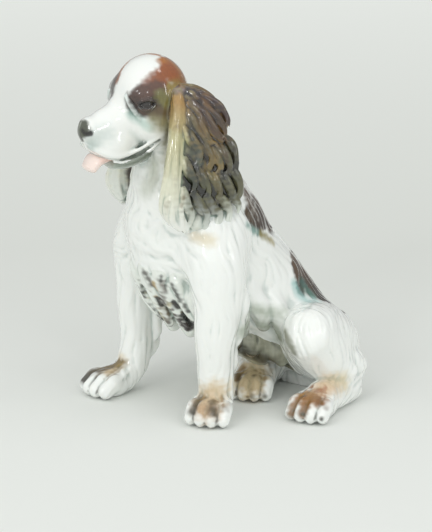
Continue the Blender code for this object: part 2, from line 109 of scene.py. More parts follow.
def limb(sections, blend=6.0, across=(1, 0, 0)):
    """A roll of clay: at each point, the distance to the oval cross-section at the nearest place on the path
    through the sections. A section is a centre and two half-widths."""
    rows = smooth_path(sections, 3)
    centres, half = rows[:, :3], rows[:, 3:]
    _, sides, depths = directions(centres, across)
    count = np.arange(len(rows))
    ends = DOME * half.min(axis=1)

    def measure(x, y, z):
        shape = np.broadcast(x, y, z).shape
        nearest, place = np.full(shape, 1e9, np.float32), np.zeros(shape, np.float32)
        for i, (a, b) in enumerate(zip(centres, centres[1:])):
            axis = b - a
            t = ((x - a[0]) * axis[0] + (y - a[1]) * axis[1] + (z - a[2]) * axis[2]) / (axis @ axis)
            t = np.clip(t, 0, 1)
            gap = (x - a[0] - t * axis[0]) ** 2 + (y - a[1] - t * axis[1]) ** 2
            gap = gap + (z - a[2] - t * axis[2]) ** 2
            closer = gap < nearest
            nearest[closer] = gap[closer]
            place[closer] = (i + t)[closer]
        along = place.ravel()
        at = [np.interp(along, count, column).reshape(shape) for column in centres.T]
        off = (x - at[0], y - at[1], z - at[2])
        u, w = (
            sum(off[n] * np.interp(along, count, way[:, n]).reshape(shape) for n in range(3))
            for way in (sides, depths)
        )
        s2 = np.maximum(off[0] ** 2 + off[1] ** 2 + off[2] ** 2 - u * u - w * w, 0)
        columns = (half[:, 0], half[:, 1], ends)
        a, b, e = (np.interp(along, count, column).reshape(shape) for column in columns)
        return oval_distance(u, w, s2, a, b, e)

    reach = half.max(axis=1)[:, None]
    found = measure if half.min() < THIN else upsampled(measure)
    return Form((centres - reach).min(axis=0), (centres + reach).max(axis=0), found, blend)


def ball(centre, half, blend=6.0, turn=0.0):
    """A ball of clay with three half-widths, turned about the vertical from -y towards +x, in degrees."""
    turned = np.array(Matrix.Rotation(np.radians(turn), 3, "Z"))
    half = np.array(half, float)
    centre = np.array(centre, float)

    def measure(x, y, z):
        off = (x - centre[0], y - centre[1], z - centre[2])
        u, w, s = (sum(off[n] * turned[n, m] for n in range(3)) for m in range(3))
        return oval_distance(u, w, s * s, *half)

    return Form(centre - half.max(), centre + half.max(), measure, blend)


def strand(points, radii, blend=0.8):
    """A rolled strand: distance to a chain of tapered lengths, less the radius there."""
    points, radii = np.asarray(points, np.float32), np.asarray(radii, np.float32)
    a, axis = points[:-1], np.diff(points, axis=0)
    spans = np.maximum((axis * axis).sum(axis=1), 1e-6)

    def measure(x, y, z):
        off = [value[None] - a[:, n, None, None, None] for n, value in enumerate((x, y, z))]
        along = [axis[:, n, None, None, None] for n in range(3)]
        t = sum(o * d for o, d in zip(off, along)) / spans[:, None, None, None]
        t = np.clip(t, 0, 1)
        gap = sum((o - t * d) ** 2 for o, d in zip(off, along))
        r, q = radii[:-1, None, None, None], radii[1:, None, None, None]
        return (np.sqrt(gap) - r - t * (q - r)).min(axis=0)

    return Form(points.min(axis=0) - radii.max(), points.max(axis=0) + radii.max(), measure, blend)


# Shares of a lock's radius: how far from its path its strands run, and how thick each strand is
LOCK_SPREAD = 0.55
LOCK_STRAND = 0.6


def lock(points, radius, strands, twist, across=(0, 1, 0), blend=0.7):
    """A lock of hair: strands wound in a helix round one path, whose radius swells near the root and tapers
    to the tip."""
    forms = []
    path = smooth_path(points, 4)
    _, sides, depths = directions(path, across)
    s = np.linspace(0, 1, len(path))
    size = radius * np.interp(s, (0, 0.2, 0.6, 0.85, 1), (0.7, 1, 0.85, 0.5, 0.12))[:, None]
    for j in range(strands):
        turn = 2 * np.pi * (j / strands + twist * s)[:, None]
        around = path + LOCK_SPREAD * size * (np.cos(turn) * sides + np.sin(turn) * depths)
        forms.append(strand(around, LOCK_STRAND * size[:, 0], blend))
    return forms


def soft_min(a, b, k):
    """Polynomial smooth minimum, which fillets two forms over a width k."""
    h = np.clip(0.5 + 0.5 * (b - a) / max(k, 1e-6), 0, 1)
    return b + (a - b) * h - k * h * (1 - h)


def block_around(low, high, step):
    """The block of points, a step apart, that fills the box between two corners."""
    shape = np.ceil((np.array(high) - low) / step).astype(int) + 1
    return Block(np.array(low, float), step, tuple(shape))


def window(block, low, high):
    """The part of a block between two corners: its slices, and its x, y and z as open arrays."""
    first = np.clip(np.floor((low - block.low) / block.step).astype(int), 0, block.shape)
    last = np.clip(np.ceil((high - block.low) / block.step).astype(int) + 1, 0, block.shape)
    if (last <= first).any():
        return None
    x, y, z = (
        (block.low[n] + block.step * np.arange(first[n], last[n])).astype(np.float32) for n in range(3)
    )
    where = tuple(slice(a, b) for a, b in zip(first, last))
    return where, x[:, None, None], y[None, :, None], z[None, None, :]


MARGIN = 12.0  # how far past its box a form may still change the clay


def press(field, block, form, carve=False):
    """Adds a form to the clay, or carves it out."""
    margin = min(MARGIN, 2 * form.blend + 1)
    view = window(block, form.low - margin, form.high + margin)
    if view is None:
        return
    where, x, y, z = view
    measured = form.measure(x, y, z)
    if carve:
        field[where] = -soft_min(-field[where], measured, form.blend)
    else:
        field[where] = soft_min(field[where], measured, form.blend)


# Torso: the neck, shoulders, back and rump as one roll, with locks of hair on the flanks
TORSO = [
    (0, -56, 184, 21, 20),
    (0, -54, 165, 27, 26),
    (0, -47, 143, 36, 38),
    (0, -38, 116, 40, 45),
    (0, -20, 92, 41, 42),
    (2, 6, 70, 37, 35),
    (3, 29, 49, 36, 28),
    (3, 44, 32, 36, 25),
    (2, 52, 20, 31, 24),
    (2, 54, 5, 27, 22),
]
FLANK_LOCKS = [
    [(35, -34, 88, 7, 8), (37, -28, 70, 8, 7), (36, -22, 52, 3, 3)],
    [(35, -20, 84, 7, 8), (37, -12, 69, 8, 7), (36, -6, 54, 3, 3)],
    [(34, -4, 76, 7, 8), (37, 3, 61, 8, 7), (36, 10, 46, 3, 3)],
    [(-35, -28, 86, 7, 8), (-37, -21, 69, 8, 7), (-36, -15, 52, 3, 3)],
    [(-34, -10, 78, 7, 8), (-36, -3, 63, 8, 7), (-35, 4, 47, 3, 3)],
]
CLAY = {"torso": [limb(TORSO), *(limb(rows, 2.5) for rows in FLANK_LOCKS)]}

# Legs: a paw's place is where its pastern stands on the board, and the way it points, in degrees from
# straight ahead
PAW_PLACES = {
    "foreleg_left": (44, -47, 44),
    "foreleg_right": (-36, -74, 8),
    "hind_leg_left": (72, 16, 34),
    "hind_leg_right": (11, 3, 48),
}
PAW_RISE = 7.5
PAW_AHEAD = 10.0
PAD = (13, 13.5, 10)
KNUCKLE = (4.7, 8, 6.4)
TOE_TIP = (4.3, 6.4, 5.6)
TOE_SPACING = 7.0
TOE_REACH = 12.0
TOE_FAN = 9
# A ridge of hair over the paw: how far it fans out, how far ahead it is, its height, and 1 where it dips
# between the toes
RIDGE = [
    (0.4, -4, 17.6, 0), (0.75, 4, 16.6, 0), (0.95, 11, 15.2, 0), (1.03, 17, 14.9, 1), (1.08, 22, 12.4, 1),
    (1.1, 26, 9.2, 1), (1.1, 28.6, 5.0, 0),
]


def paw(x, y, heading):
    """A pad with four knuckled toes fanned across its front, each toe a knuckle ball and a tip ball, and
    ridges of hair combed over them, which follow a cosine down between one toe and the next."""
    turn = np.radians(heading)
    ahead = np.array([np.sin(turn), -np.cos(turn), 0])
    aside = np.array([np.cos(turn), np.sin(turn), 0])
    centre = np.array([x, y, PAW_RISE]) + ahead * PAW_AHEAD
    forms = [ball(centre, PAD, 4, heading)]
    for step in (-1.5, -0.5, 0.5, 1.5):
        reach = TOE_REACH * (1 - 0.11 * step**2)
        at = centre + aside * step * TOE_SPACING + ahead * reach
        out = heading + step * TOE_FAN
        forms.append(ball(at - ahead * 4.5 + (0, 0, 2.4), KNUCKLE, 1.4, out))
        forms.append(ball(at + ahead * 1.6 + (0, 0, -1.2), TOE_TIP, 2.2, out))
    for step in np.linspace(-1.9, 1.9, 13):
        dip = 0.75 * (1 - np.cos(2 * np.pi * (step - 0.5)))
        at = [
            np.array([x, y, z - dips * dip - 0.35 * step**2]) + aside * step * TOE_SPACING * out
            + ahead * (go - 1.3 * step**2 * go / 28) for out, go, z, dips in RIDGE
        ]
        radii = np.interp(range(19), (0, 5, 14, 18), (0.5, 1.0, 0.8, 0.3))
        forms.append(strand(smooth_path(at, 3), radii, 1.4))
    return forms


# A foreleg is one roll down from the shoulder. A hind leg is three: thigh, shin and foot.
CLAY["foreleg_left"] = [
    limb([(22, -36, 138, 13, 20), (33, -41, 124, 15, 21), (42, -46, 105, 16, 19), (45, -46, 82, 14, 16),
          (45, -48, 58, 12, 13), (43, -47, 34, 10.5, 11), (44, -47, 14, 10, 11)]),
    *paw(*PAW_PLACES["foreleg_left"]),
]
CLAY["foreleg_right"] = [
    limb([(-22, -40, 136, 13, 20), (-33, -49, 121, 15, 20), (-40, -57, 100, 15, 18), (-41, -60, 78, 12, 13),
          (-40, -61, 55, 10.5, 11.5), (-38, -62, 34, 9.5, 10), (-37, -66, 18, 9.5, 10),
          (-36, -74, 10, 10, 9)]),
    *paw(*PAW_PLACES["foreleg_right"]),
]
CLAY["hind_leg_left"] = [
    limb([(30, 45, 32, 23, 23), (44, 33, 40, 23, 24), (55, 20, 49, 18.5, 20), (63, 10, 54, 14, 15)]),
    limb([(62, 14, 49, 14, 14), (60, 28, 33, 13, 14), (56, 44, 14, 10, 11)], 7),
    limb([(56, 48, 9, 9, 10), (64, 32, 9, 10, 10), (72, 16, 10, 11, 11)], 6),
    *paw(*PAW_PLACES["hind_leg_left"]),
]
CLAY["hind_leg_right"] = [
    limb([(-25, 50, 32, 24, 25), (-38, 34, 39, 23, 25), (-45, 18, 43, 18.5, 20), (-47, 6, 44, 14, 15)]),
    limb([(-43, 10, 38, 13, 14), (-28, 20, 26, 13, 14), (-12, 25, 14, 12, 12)], 7),
    limb([(-12, 25, 11, 12, 12), (-2, 14, 13, 15, 14), (11, 3, 11, 13, 12)], 6),
    *paw(*PAW_PLACES["hind_leg_right"]),
]
# The feathers behind each leg: a lock's radius, then its path
LEG_FEATHERS = {
    "foreleg_left": [
        (4.0, (49, -35, 92), (51, -32, 77), (48, -33, 64)),
        (3.6, (46, -36, 72), (48, -34, 57), (46, -36, 45)),
        (3.0, (44, -38, 50), (46, -36, 38), (44, -38, 27)),
        (3.6, (40, -34, 84), (41, -31, 68), (39, -33, 56)),
    ],
    "foreleg_right": [
        (4.0, (-40, -48, 88), (-42, -45, 72), (-40, -47, 58)),
        (3.6, (-38, -50, 66), (-39, -47, 52), (-37, -49, 38)),
        (3.2, (-35, -53, 46), (-35, -50, 33), (-34, -53, 22)),
        (3.4, (-31, -52, 60), (-31, -50, 46), (-30, -52, 34)),
    ],
    "hind_leg_left": [
        (3.6, (60, 46, 36), (63, 51, 26), (62, 52, 14)),
        (3.4, (54, 52, 34), (57, 57, 24), (57, 56, 12)),
        (3.4, (64, 38, 34), (68, 42, 25), (67, 42, 15)),
    ],
    "hind_leg_right": [
        (3.6, (-50, 50, 36), (-54, 54, 26), (-54, 54, 14)),
        (3.4, (-44, 58, 32), (-47, 63, 22), (-47, 62, 11)),
    ],
}
for name, rows in LEG_FEATHERS.items():
    for radius, *path in rows:
        CLAY[name] += lock(path, radius, 3, 0.3, across=(1, 0, 0), blend=1.2)

# Head: every place counts from the centre of the skull
HEAD_AT = np.array([-2.0, -60.0, 208.0])


def on_head(rows, side=1):
    """Rows that count from the centre of the skull, on the left side or mirrored on the right one."""
    rows = np.array(rows, float)
    rows[:, 0] *= side
    rows[:, :3] += HEAD_AT
    return rows


def head_ball(centre, half, blend, side=1):
    """A ball of clay on the head."""
    return ball(on_head([centre], side)[0], half, blend)


# The skull, and the muzzle as a roll out of it
CLAY["head"] = [
    head_ball((0, -9, -1), (25, 25, 28), 1),
    limb(on_head([(0, -14, -10, 18, 18), (0, -24, -13, 16.5, 17), (0, -34, -17, 13.5, 15),
                  (0, -43, -20, 12.5, 14), (0, -52, -22, 11, 11.5)]), 7),
]
# On each side the cheek, the brow, the hanging lip and the mound of the eye, and then the nose
for side in (1, -1):
    CLAY["head"] += [
        head_ball((15, -8, -17), (9, 16, 13), 8, side),
        head_ball((12, -22, 4), (10, 9, 7), 6, side),
        head_ball((7, -38, -29), (8, 14, 9), 6, side),
        head_ball((15.5, -23, -4), (6, 6, 6), 1.0, side),
    ]
CLAY["head"] += [head_ball((0, -54.5, -18.5), (7.5, 6.5, 7.5), 2.5), head_ball((0, -53, -14), (7, 6, 4), 2)]
CLAY["lower_jaw"] = [
    limb(on_head([(0, -4, -27, 15, 8), (0, -18, -35, 13, 7), (0, -30, -40, 11, 5.5), (0, -39, -41, 9, 4)])),
]
CLAY["tongue"] = [
    limb(on_head([(0, -32, -35, 8, 2.5), (0, -42, -36, 9, 3.5), (0, -50, -38, 9.5, 4.5),
                  (0, -54, -43, 8, 4)])),
]

# Ears: the leather of the flap, and the ribs of hair on it
EAR_LEATHER = [
    (22, 6, 5, 11, 4), (29, 2, -14, 13, 4.5), (33, 4, -38, 15, 5), (36, 6, -58, 17, 5), (38, 7, -66, 13, 4),
]
EAR_RIBS = [
    [(25, 1, 3, 6, 4), (31, -5, -14, 7, 4.5), (35, -9, -36, 7, 5), (39, -11, -60, 8, 5),
     (40, -7, -76, 5, 4)],
    [(26, 3, 5, 6, 4), (34, -4, -14, 7, 4.5), (38, -6, -36, 7, 5), (42, -2, -62, 8, 5), (43, 1, -78, 4, 4)],
    [(26, 6, 5, 6, 4), (35, 2, -12, 7, 4.5), (40, 1, -34, 7, 5), (43, 8, -58, 8, 5), (44, 10, -70, 4, 4)],
    [(24, 9, 3, 6, 4), (33, 8, -14, 7, 4.5), (39, 9, -36, 7, 5), (42, 16, -56, 8, 5), (44, 19, -66, 4, 4)],
    [(22, 10, -3, 6, 4.5), (29, 17, -19, 7, 5), (35, 21, -36, 8, 5.5), (40, 24, -52, 8, 5.5),
     (43, 26, -60, 5, 4)],
]
# The rolled front edge, from the root down: a place and the radius there
EAR_ROLL = np.array([
    (25, -2, 4, 4.2), (30, -5, -2, 4.8), (34, -8, -10, 5.0), (38, -12, -24, 5.4), (41, -16, -40, 6.0),
    (43, -19, -53, 6.4), (43, -20, -64, 5.8), (42, -17, -74, 3.4),
])
ROLL_RIDGES = 7
# The right ear hangs a little further out and back
EAR_RIGHT_SHIFT = np.array([3.0, 6.0, 0.0])
# Ear locks, from the root of the ear down and back: a lock's radius, then its path. The first few swirl
# round the root.
SWIRLS = 5
EAR_LOCKS = [
    (4.2, (27, 2, 6), (31, 7, 3), (33, 15, -1), (35, 21, -5), (38, 25, -12), (40, 24, -18)),
    (4.4, (30, 1, 3), (33, 6, -2), (36, 12, -7), (38, 18, -12), (40, 22, -19), (41, 21, -24)),
    (4.4, (32, 1, -1), (35, 6, -6), (38, 10, -12), (40, 14, -18), (42, 18, -24), (41, 23, -24)),
    (4.0, (34, 0, -6), (38, 3, -12), (40, 6, -18), (42, 10, -24), (41, 17, -27)),
    (3.8, (24, 0, 8), (26, 9, 5), (29, 16, 1), (32, 22, -5), (35, 26, -12)),
    (3.6, (38, -6, -15), (41, -3, -22), (42, 2, -29), (44, 2, -36), (44, -2, -41)),
    (3.6, (40, 1, -22), (42, 7, -29), (44, 10, -36), (44, 6, -43)),
    (3.6, (41, 8, -27), (44, 13, -34), (45, 16, -41), (45, 11, -48)),
    (3.6, (41, 15, -27), (44, 20, -34), (45, 23, -42), (45, 20, -49)),
    (3.2, (40, 22, -23), (42, 27, -30), (44, 28, -38), (45, 27, -46)),
    (3.5, (42, -9, -33), (45, -7, -41), (46, -3, -49), (47, -6, -57)),
    (3.5, (44, -1, -40), (46, 3, -48), (47, 6, -55), (47, 2, -62)),
    (3.5, (44, 7, -44), (46, 12, -50), (48, 14, -58), (47, 11, -65)),
    (3.5, (44, 15, -44), (46, 20, -51), (48, 23, -59), (46, 21, -66)),
    (3.2, (44, 23, -42), (46, 28, -49), (47, 30, -57), (47, 28, -64)),
    (3.6, (46, -12, -52), (48, -11, -60), (47, -6, -69), (44, -7, -78)),
    (3.6, (46, -5, -55), (47, 0, -64), (47, 5, -71), (46, 3, -79)),
    (3.5, (47, 4, -58), (47, 9, -66), (47, 15, -71), (47, 13, -78)),
    (3.4, (47, 13, -59), (47, 19, -65), (47, 22, -70), (48, 21, -76)),
    (3.0, (47, 22, -58), (47, 26, -63), (47, 29, -67), (48, 28, -72)),
    (4.0, (46, -20, -56), (47, -22, -63), (45, -19, -72), (44, -13, -80)),
    (3.8, (46, -16, -56), (47, -16, -64), (45, -12, -74), (44, -8, -82)),
]


def on_ear(path, side=1, shift=0):
    """A path that counts from the head's centre, on the left ear or mirrored on the right one."""
    path = np.array(path, float)[:, :3] * (side, 1, 1)
    return path + HEAD_AT + shift


rng = np.random.default_rng(7)
for name, side, shift in (("ear_left", 1, 0), ("ear_right", -1, EAR_RIGHT_SHIFT)):
    CLAY[name] = []
    for rows in (EAR_LEATHER, *EAR_RIBS):
        placed = np.hstack([on_ear(rows, side, shift), np.array(rows)[:, 3:]])
        CLAY[name].append(limb(placed, 6 if rows is EAR_LEATHER else 3, across=(0, 1, 0)))
    # The front edge is rolled over: a thick roll, with ridges of hair that turn round it
    roll, size = smooth_path(on_ear(EAR_ROLL, side, shift), 4), smooth_path(EAR_ROLL[:, 3:], 4)
    CLAY[name].append(strand(roll, 0.92 * size[:, 0], 1.5))
    _, sides, depths = directions(roll, (0, 1, 0))
    s = np.linspace(0, 1, len(roll))[:, None]
    for ridge in range(ROLL_RIDGES):
        turn = 2 * np.pi * (ridge / ROLL_RIDGES + 0.16 * np.sin(2.2 * s + ridge))
        out = size * (0.62 + 0.3 * s**0.6)
        around = roll + out * (np.cos(turn) * sides + np.sin(turn) * depths)
        taper = np.interp(s[:, 0], (0, 0.2, 0.85, 1), (0.5, 0.26, 0.27, 0.1))
        CLAY[name].append(strand(around, taper * size[:, 0], 1.1))
    # Each lock has a few wisps of finer hair that wave along its outer side
    for n, (radius, *path) in enumerate(EAR_LOCKS):
        path = on_ear(path, side, shift)
        CLAY[name] += lock(path, radius, 3, 0.3 if n < SWIRLS else 0.4)
        fine = smooth_path(path, 4)
        _, sides, _ = directions(fine, (0, 1, 0))
        s = np.linspace(0, 1, len(fine))[:, None]
        for _ in range(2 if n < SWIRLS else 4):
            aside = rng.uniform(-0.5, 0.5) + rng.uniform(0.08, 0.2) * np.sin(rng.uniform(0, 6) + 4 * s)
            wisp = fine + radius * aside * sides + 0.5 * radius * (1 - 0.35 * s) * np.array([side, 0, 0])
            taper = np.interp(s[:, 0], (0, 0.3, 0.8, 1), (0.6, 1.1, 0.8, 0.3)) * rng.uniform(0.8, 1.2)
            CLAY[name].append(strand(wisp, taper, 0.8))

# Tail and feathering: a short curled roll, the tufts between the forelegs and the skirt under the belly
CLAY["tail"] = [limb([(2, 64, 20, 9, 9), (-3, 78, 14, 8, 9), (-15, 85, 8, 7, 9), (-28, 84, 5.5, 5, 7)])]
CLAY["chest_feathering"] = [
    limb([(-14, -68, 92, 9, 7), (-14, -64, 76, 8, 7), (-10, -59, 62, 4, 4)], 2),
    limb([(0, -68, 90, 9, 7), (2, -61, 71, 9, 8), (3, -55, 54, 4, 4)], 2),
    limb([(13, -62, 88, 9, 7), (14, -55, 69, 8, 8), (16, -49, 52, 4, 4)], 2),
    limb([(23, -52, 84, 8, 7), (24, -46, 65, 7, 7), (26, -41, 50, 3, 3)], 2),
]
BELLY_LOCKS = [
    [(12, -22, 54, 7, 8), (19, -21, 46, 6, 7), (22, -20, 39, 3, 3)],
    [(14, -10, 48, 7, 8), (21, -8, 40, 6, 7), (24, -7, 33, 3, 3)],
    [(18, 8, 38, 7, 8), (25, 11, 31, 6, 7), (27, 14, 24, 3, 3)],
    [(16, 14, 34, 8, 8), (24, 24, 25, 7, 7), (27, 29, 17, 3, 3)],
    [(4, -6, 44, 7, 8), (-6, -3, 37, 6, 7), (-9, -1, 30, 3, 3)],
]
# The tufts of the chest: a lock's radius, then its path
CHEST_TUFTS = [
    (4.0, (-8, -70, 104), (-8, -76, 95), (-6, -74, 84), (-3, -69, 72), (2, -64, 60)),
    (4.2, (4, -70, 102), (4, -76, 94), (6, -73, 83), (9, -68, 70), (11, -62, 56)),
    (4.4, (15, -66, 101), (15, -72, 92), (15, -68, 82), (18, -62, 70), (21, -55, 57)),
    (4.0, (26, -58, 98), (25, -65, 90), (25, -60, 78), (27, -54, 66), (29, -47, 53)),
    (3.0, (9, -70, 96), (9, -75, 88), (11, -71, 79), (15, -65, 70)),
    (3.0, (20, -63, 96), (20, -68, 88), (20, -64, 78), (24, -58, 66)),
    (3.2, (-14, -68, 99), (-14, -73, 92), (-13, -71, 84), (-9, -66, 73)),
    (3.4, (31, -55, 86), (31, -58, 78), (32, -51, 66), (34, -45, 52), (35, -43, 44)),
]
for radius, *path in CHEST_TUFTS:
    CLAY["chest_feathering"] += lock(path, radius, 4, 0.3, across=(1, 0, 0))
CLAY["belly_feathering"] = [limb([(2, -36, 58, 13, 9), (8, -14, 45, 15, 12), (15, 7, 33, 13, 12)], 3)]
CLAY["belly_feathering"] += [limb(rows, 2) for rows in BELLY_LOCKS]

# How wide the fillet of slip is where each casting is luted on, in the order that they are joined
LUTE = {
    "torso": 1, "foreleg_left": 12, "foreleg_right": 12, "hind_leg_left": 12, "hind_leg_right": 12,
    "head": 9, "tail": 6, "chest_feathering": 4, "belly_feathering": 5, "ear_left": 2, "ear_right": 2,
    "lower_jaw": 1.0, "tongue": 0.6,
}
FAR = 30.0  # the distance that stands for no clay near
# The hair and the face, which are worked into the joined clay: each is a form, and whether it is carved out
COAT = []


def model(block):
    """The clay in a block: the field of each casting by itself, and the field of all of them luted together,
    with the coat on."""
    own = {}
    whole = np.full(block.shape, FAR, np.float32)
    for name, lute in LUTE.items():
        field = np.full(block.shape, FAR, np.float32)
        for form in CLAY[name]:
            press(field, block, form)
        if field.min() < FAR:
            own[name] = field
            whole = soft_min(whole, field, lute)
    for form, carve in COAT:
        press(whole, block, form, carve)
    return own, whole


def sample(block, field, points):
    """Trilinear value of a field at points."""
    at = np.clip((points - block.low) / block.step, 0, np.array(block.shape) - 1.001)
    base = at.astype(int)
    f = at - base
    found = 0
    for i in (0, 1):
        for j in (0, 1):
            for k in (0, 1):
                weight = abs(1 - i - f[:, 0]) * abs(1 - j - f[:, 1]) * abs(1 - k - f[:, 2])
                found = found + weight * field[base[:, 0] + i, base[:, 1] + j, base[:, 2] + k]
    return found


# The clay without its coat on a coarse grid, to lay the hair on
ROUGH_STEP = 2.0
ROOM = 10
low = np.min([form.low for forms in CLAY.values() for form in forms], axis=0) - ROOM
high = np.max([form.high for forms in CLAY.values() for form in forms], axis=0) + ROOM
ROUGH = block_around(low, high, ROUGH_STEP)
rough_own, rough = model(ROUGH)
rough_slopes = np.gradient(rough, ROUGH.step)
LEAST_SLOPE = 0.4  # keeps a step onto the clay short where its field is flat


def slope(points):
    """Unit outward direction of the rough clay at points, and the length of its slope."""
    found = np.stack([sample(ROUGH, part, points) for part in rough_slopes], axis=1)
    size = np.linalg.norm(found, axis=1)
    return found / np.maximum(size, 1e-6)[:, None], size


def lay(points, rounds=4):
    """Moves points onto the surface of the rough clay along its slope."""
    points = np.array(points, float)
    for _ in range(rounds):
        out, size = slope(points)
        points = points - out * (sample(ROUGH, rough, points) / np.maximum(size, LEAST_SLOPE))[:, None]
    return points


# The coat: hair is thin rolls of clay, laid on the body the way it grows and stroked down with a damp brush.
# Each roll is buried at its root and lifts a little towards its tip, so that neighbours overlap as locks of
# hair do.
HAIR_SPACING = 4.6
HAIR_STEPS = 9
HAIR_ALONG = (0, 0.25, 0.6, 0.85, 1)
HAIR_TAPER = (0.5, 1, 0.9, 0.55, 0.2)
GROWTH_SPREAD = 20.0
SWAY = 1.6  # the hair turns aside by up to this many times its guide's angle
# Guides: a place on the left side, the way the hair grows there, and the hair's thickness, sway and length
GROWTH = np.array([
    (0, -94, 152, 0, 0, -1, 1.4, 20, 22),
    (14, -88, 128, 0.5, 0.1, -0.8, 2.0, 45, 26),
    (12, -80, 108, 0.9, 0.2, -0.5, 2.2, 50, 26),
    (0, -78, 98, 0.2, 0.2, -1, 2.0, 40, 22),
    (30, -68, 110, 0.8, 0.5, -0.4, 1.9, 35, 24),
    (28, -66, 150, 0, 0.2, -1, 1.4, 20, 22),
    (24, -50, 175, 0.1, 0.2, -1, 1.3, 15, 20),
    (0, -30, 168, 0, 0.4, -0.9, 1.5, 20, 20),
    (42, -36, 130, 0.1, 0.3, -1, 1.6, 25, 22),
    (30, -6, 130, 0.1, 0.6, -0.8, 1.6, 28, 22),
    (0, 4, 128, 0, 0.75, -0.7, 1.4, 20, 22),
    (39, -8, 98, 0.05, 0.4, -0.9, 1.8, 35, 24),
    (38, 8, 72, 0.05, 0.3, -1, 2.1, 40, 24),
    (0, 34, 96, 0, 0.8, -0.6, 1.4, 18, 22),
    (26, 42, 75, 0.2, 0.7, -0.7, 1.4, 20, 20),
    (0, 72, 55, 0, 0.6, -0.8, 1.5, 20, 20),
    (34, 68, 30, 0.1, 0.3, -1, 1.7, 25, 20),
    (52, -52, 100, 0.1, 0, -1, 1.5, 15, 26),
    (52, -52, 62, 0, 0, -1, 1.3, 12, 22),
    (48, -52, 30, 0, -0.1, -1, 1.1, 10, 18),
    (48, 38, 62, 0.5, -0.5, -0.6, 1.1, 15, 18),
    (66, 8, 58, 0.1, 0.1, -1, 0.8, 12, 12),
    (66, 26, 34, 0, 0.3, -1, 1.2, 15, 16),
    (64, 36, 12, 0.4, -0.8, -0.2, 1.0, 10, 12),
], float)
GROWTH = np.vstack([GROWTH, GROWTH[GROWTH[:, 0] > 0] * (-1, 1, 1, -1, 1, 1, 1, 1, 1)])


def growth(points):
    """The guides' average at points, each weighted by exp(-(distance / spread) squared)."""
    away = ((points[:, None, :] - GROWTH[None, :, :3]) ** 2).sum(axis=2) / GROWTH_SPREAD**2
    weight = np.exp(-(away - away.min(axis=1, keepdims=True)))
    return weight @ GROWTH[:, 3:] / weight.sum(axis=1)[:, None]


def swell(points):
    """Slow waves through space between -1 and 1, so that neighbouring strands curl together: the sum of two
    sines, whose waves are 26 to 90 mm long along the axes."""
    x, y, z = points.T
    long = np.sin(0.13 * x + 0.21 * z + 0.07 * y + 0.5)
    short = np.sin(0.24 * y - 0.17 * z + 0.19 * x + 2.1)
    return 0.6 * long + 0.4 * short


def comb(starts):
    """Lines of hair from the starts: steps along the growth, laid on the clay, and turned aside by the sway
    times the swell."""
    points = lay(starts)
    paths = [points]
    for _ in range(HAIR_STEPS - 1):
        guide = growth(points)
        out, _ = slope(points)
        way = guide[:, :3] - (guide[:, :3] * out).sum(axis=1)[:, None] * out
        way /= np.maximum(np.linalg.norm(way, axis=1), 1e-3)[:, None]
        turn = np.radians(guide[:, 4]) * swell(points) * SWAY
        way = np.cos(turn)[:, None] * way + np.sin(turn)[:, None] * np.cross(out, way)
        points = lay(points + way * (guide[:, 5] / (HAIR_STEPS - 1))[:, None], 2)
        paths.append(points)
    return np.stack(paths, axis=1)


# The hair starts evenly over the castings that are hairy all over, clear of the toes, the board and the head
HAIRY = ["torso", "foreleg_left", "foreleg_right", "hind_leg_left", "hind_leg_right", "tail",
         "chest_feathering", "belly_feathering"]
NEAR_SURFACE = 1.6
LOWEST_HAIR, HIGHEST_HAIR = 5, 190
TOES_AHEAD, TOES_UP = 14, 6
CLEAR_OF_TOES = 20
grid_points = np.argwhere(np.abs(rough) < NEAR_SURFACE) * ROUGH.step + ROUGH.low
grid_points = grid_points[rng.permutation(len(grid_points))]
_, first = np.unique(np.floor(grid_points / HAIR_SPACING), axis=0, return_index=True)
starts = lay(grid_points[np.sort(first)])
nearest = np.argmin([sample(ROUGH, rough_own[name], starts) for name in CLAY], axis=0)
furry = np.isin(np.array(list(CLAY))[nearest], HAIRY)
for x, y, heading in PAW_PLACES.values():
    ahead = np.array([np.sin(np.radians(heading)), -np.cos(np.radians(heading)), 0]) * TOES_AHEAD
    furry &= np.linalg.norm(starts - (np.array([x, y, TOES_UP]) + ahead), axis=1) > CLEAR_OF_TOES
furry &= (starts[:, 2] > LOWEST_HAIR) & (starts[:, 2] < HIGHEST_HAIR)
starts = starts[furry]
strands = comb(starts)
thick = growth(starts)[:, 3] * rng.uniform(0.75, 1.2, len(starts))
along = np.linspace(0, 1, HAIR_STEPS)
for path, size in zip(strands, thick):
    out, _ = slope(path)
    sunk = np.interp(along, (0, 0.3, 0.8, 1), (-1.0, -0.6, -0.5, -0.5))
    radii = size * np.interp(along, HAIR_ALONG, HAIR_TAPER)
    COAT.append((strand(path + out * (sunk * radii + 0.15)[:, None], radii, 1.5), False))

# The deep swirling folds of the chest, each a thick soft roll
CHEST_FOLDS = [
    [(17, -78, 125), (12, -80, 119), (6, -81, 112), (4, -80, 106), (9, -78, 102)],
    [(-1, -80, 105), (5, -79, 102), (12, -77, 102), (20, -73, 105), (30, -66, 111)],
    [(5, -81, 112), (12, -80, 110), (19, -76, 113), (25, -72, 117), (30, -68, 120)],
    [(3, -77, 97), (12, -74, 95), (20, -70, 97), (28, -65, 101)],
    [(5, -83, 128), (1, -83, 120), (-4, -82, 111), (-4, -80, 104), (2, -79, 100)],
    [(24, -76, 131), (18, -79, 125), (14, -80, 117), (17, -78, 109)],
    [(-8, -82, 122), (-12, -79, 112), (-13, -76, 103), (-9, -75, 97)],
]
for rows in CHEST_FOLDS:
    rows = smooth_path(rows, 3)
    taper = 2.6 * np.interp(np.linspace(0, 1, len(rows)), (0, 0.25, 0.75, 1), (0.4, 1, 0.95, 0.4))
    COAT.append((strand(rows + np.array([0, 0.9, 0]), taper, 2.2), False))

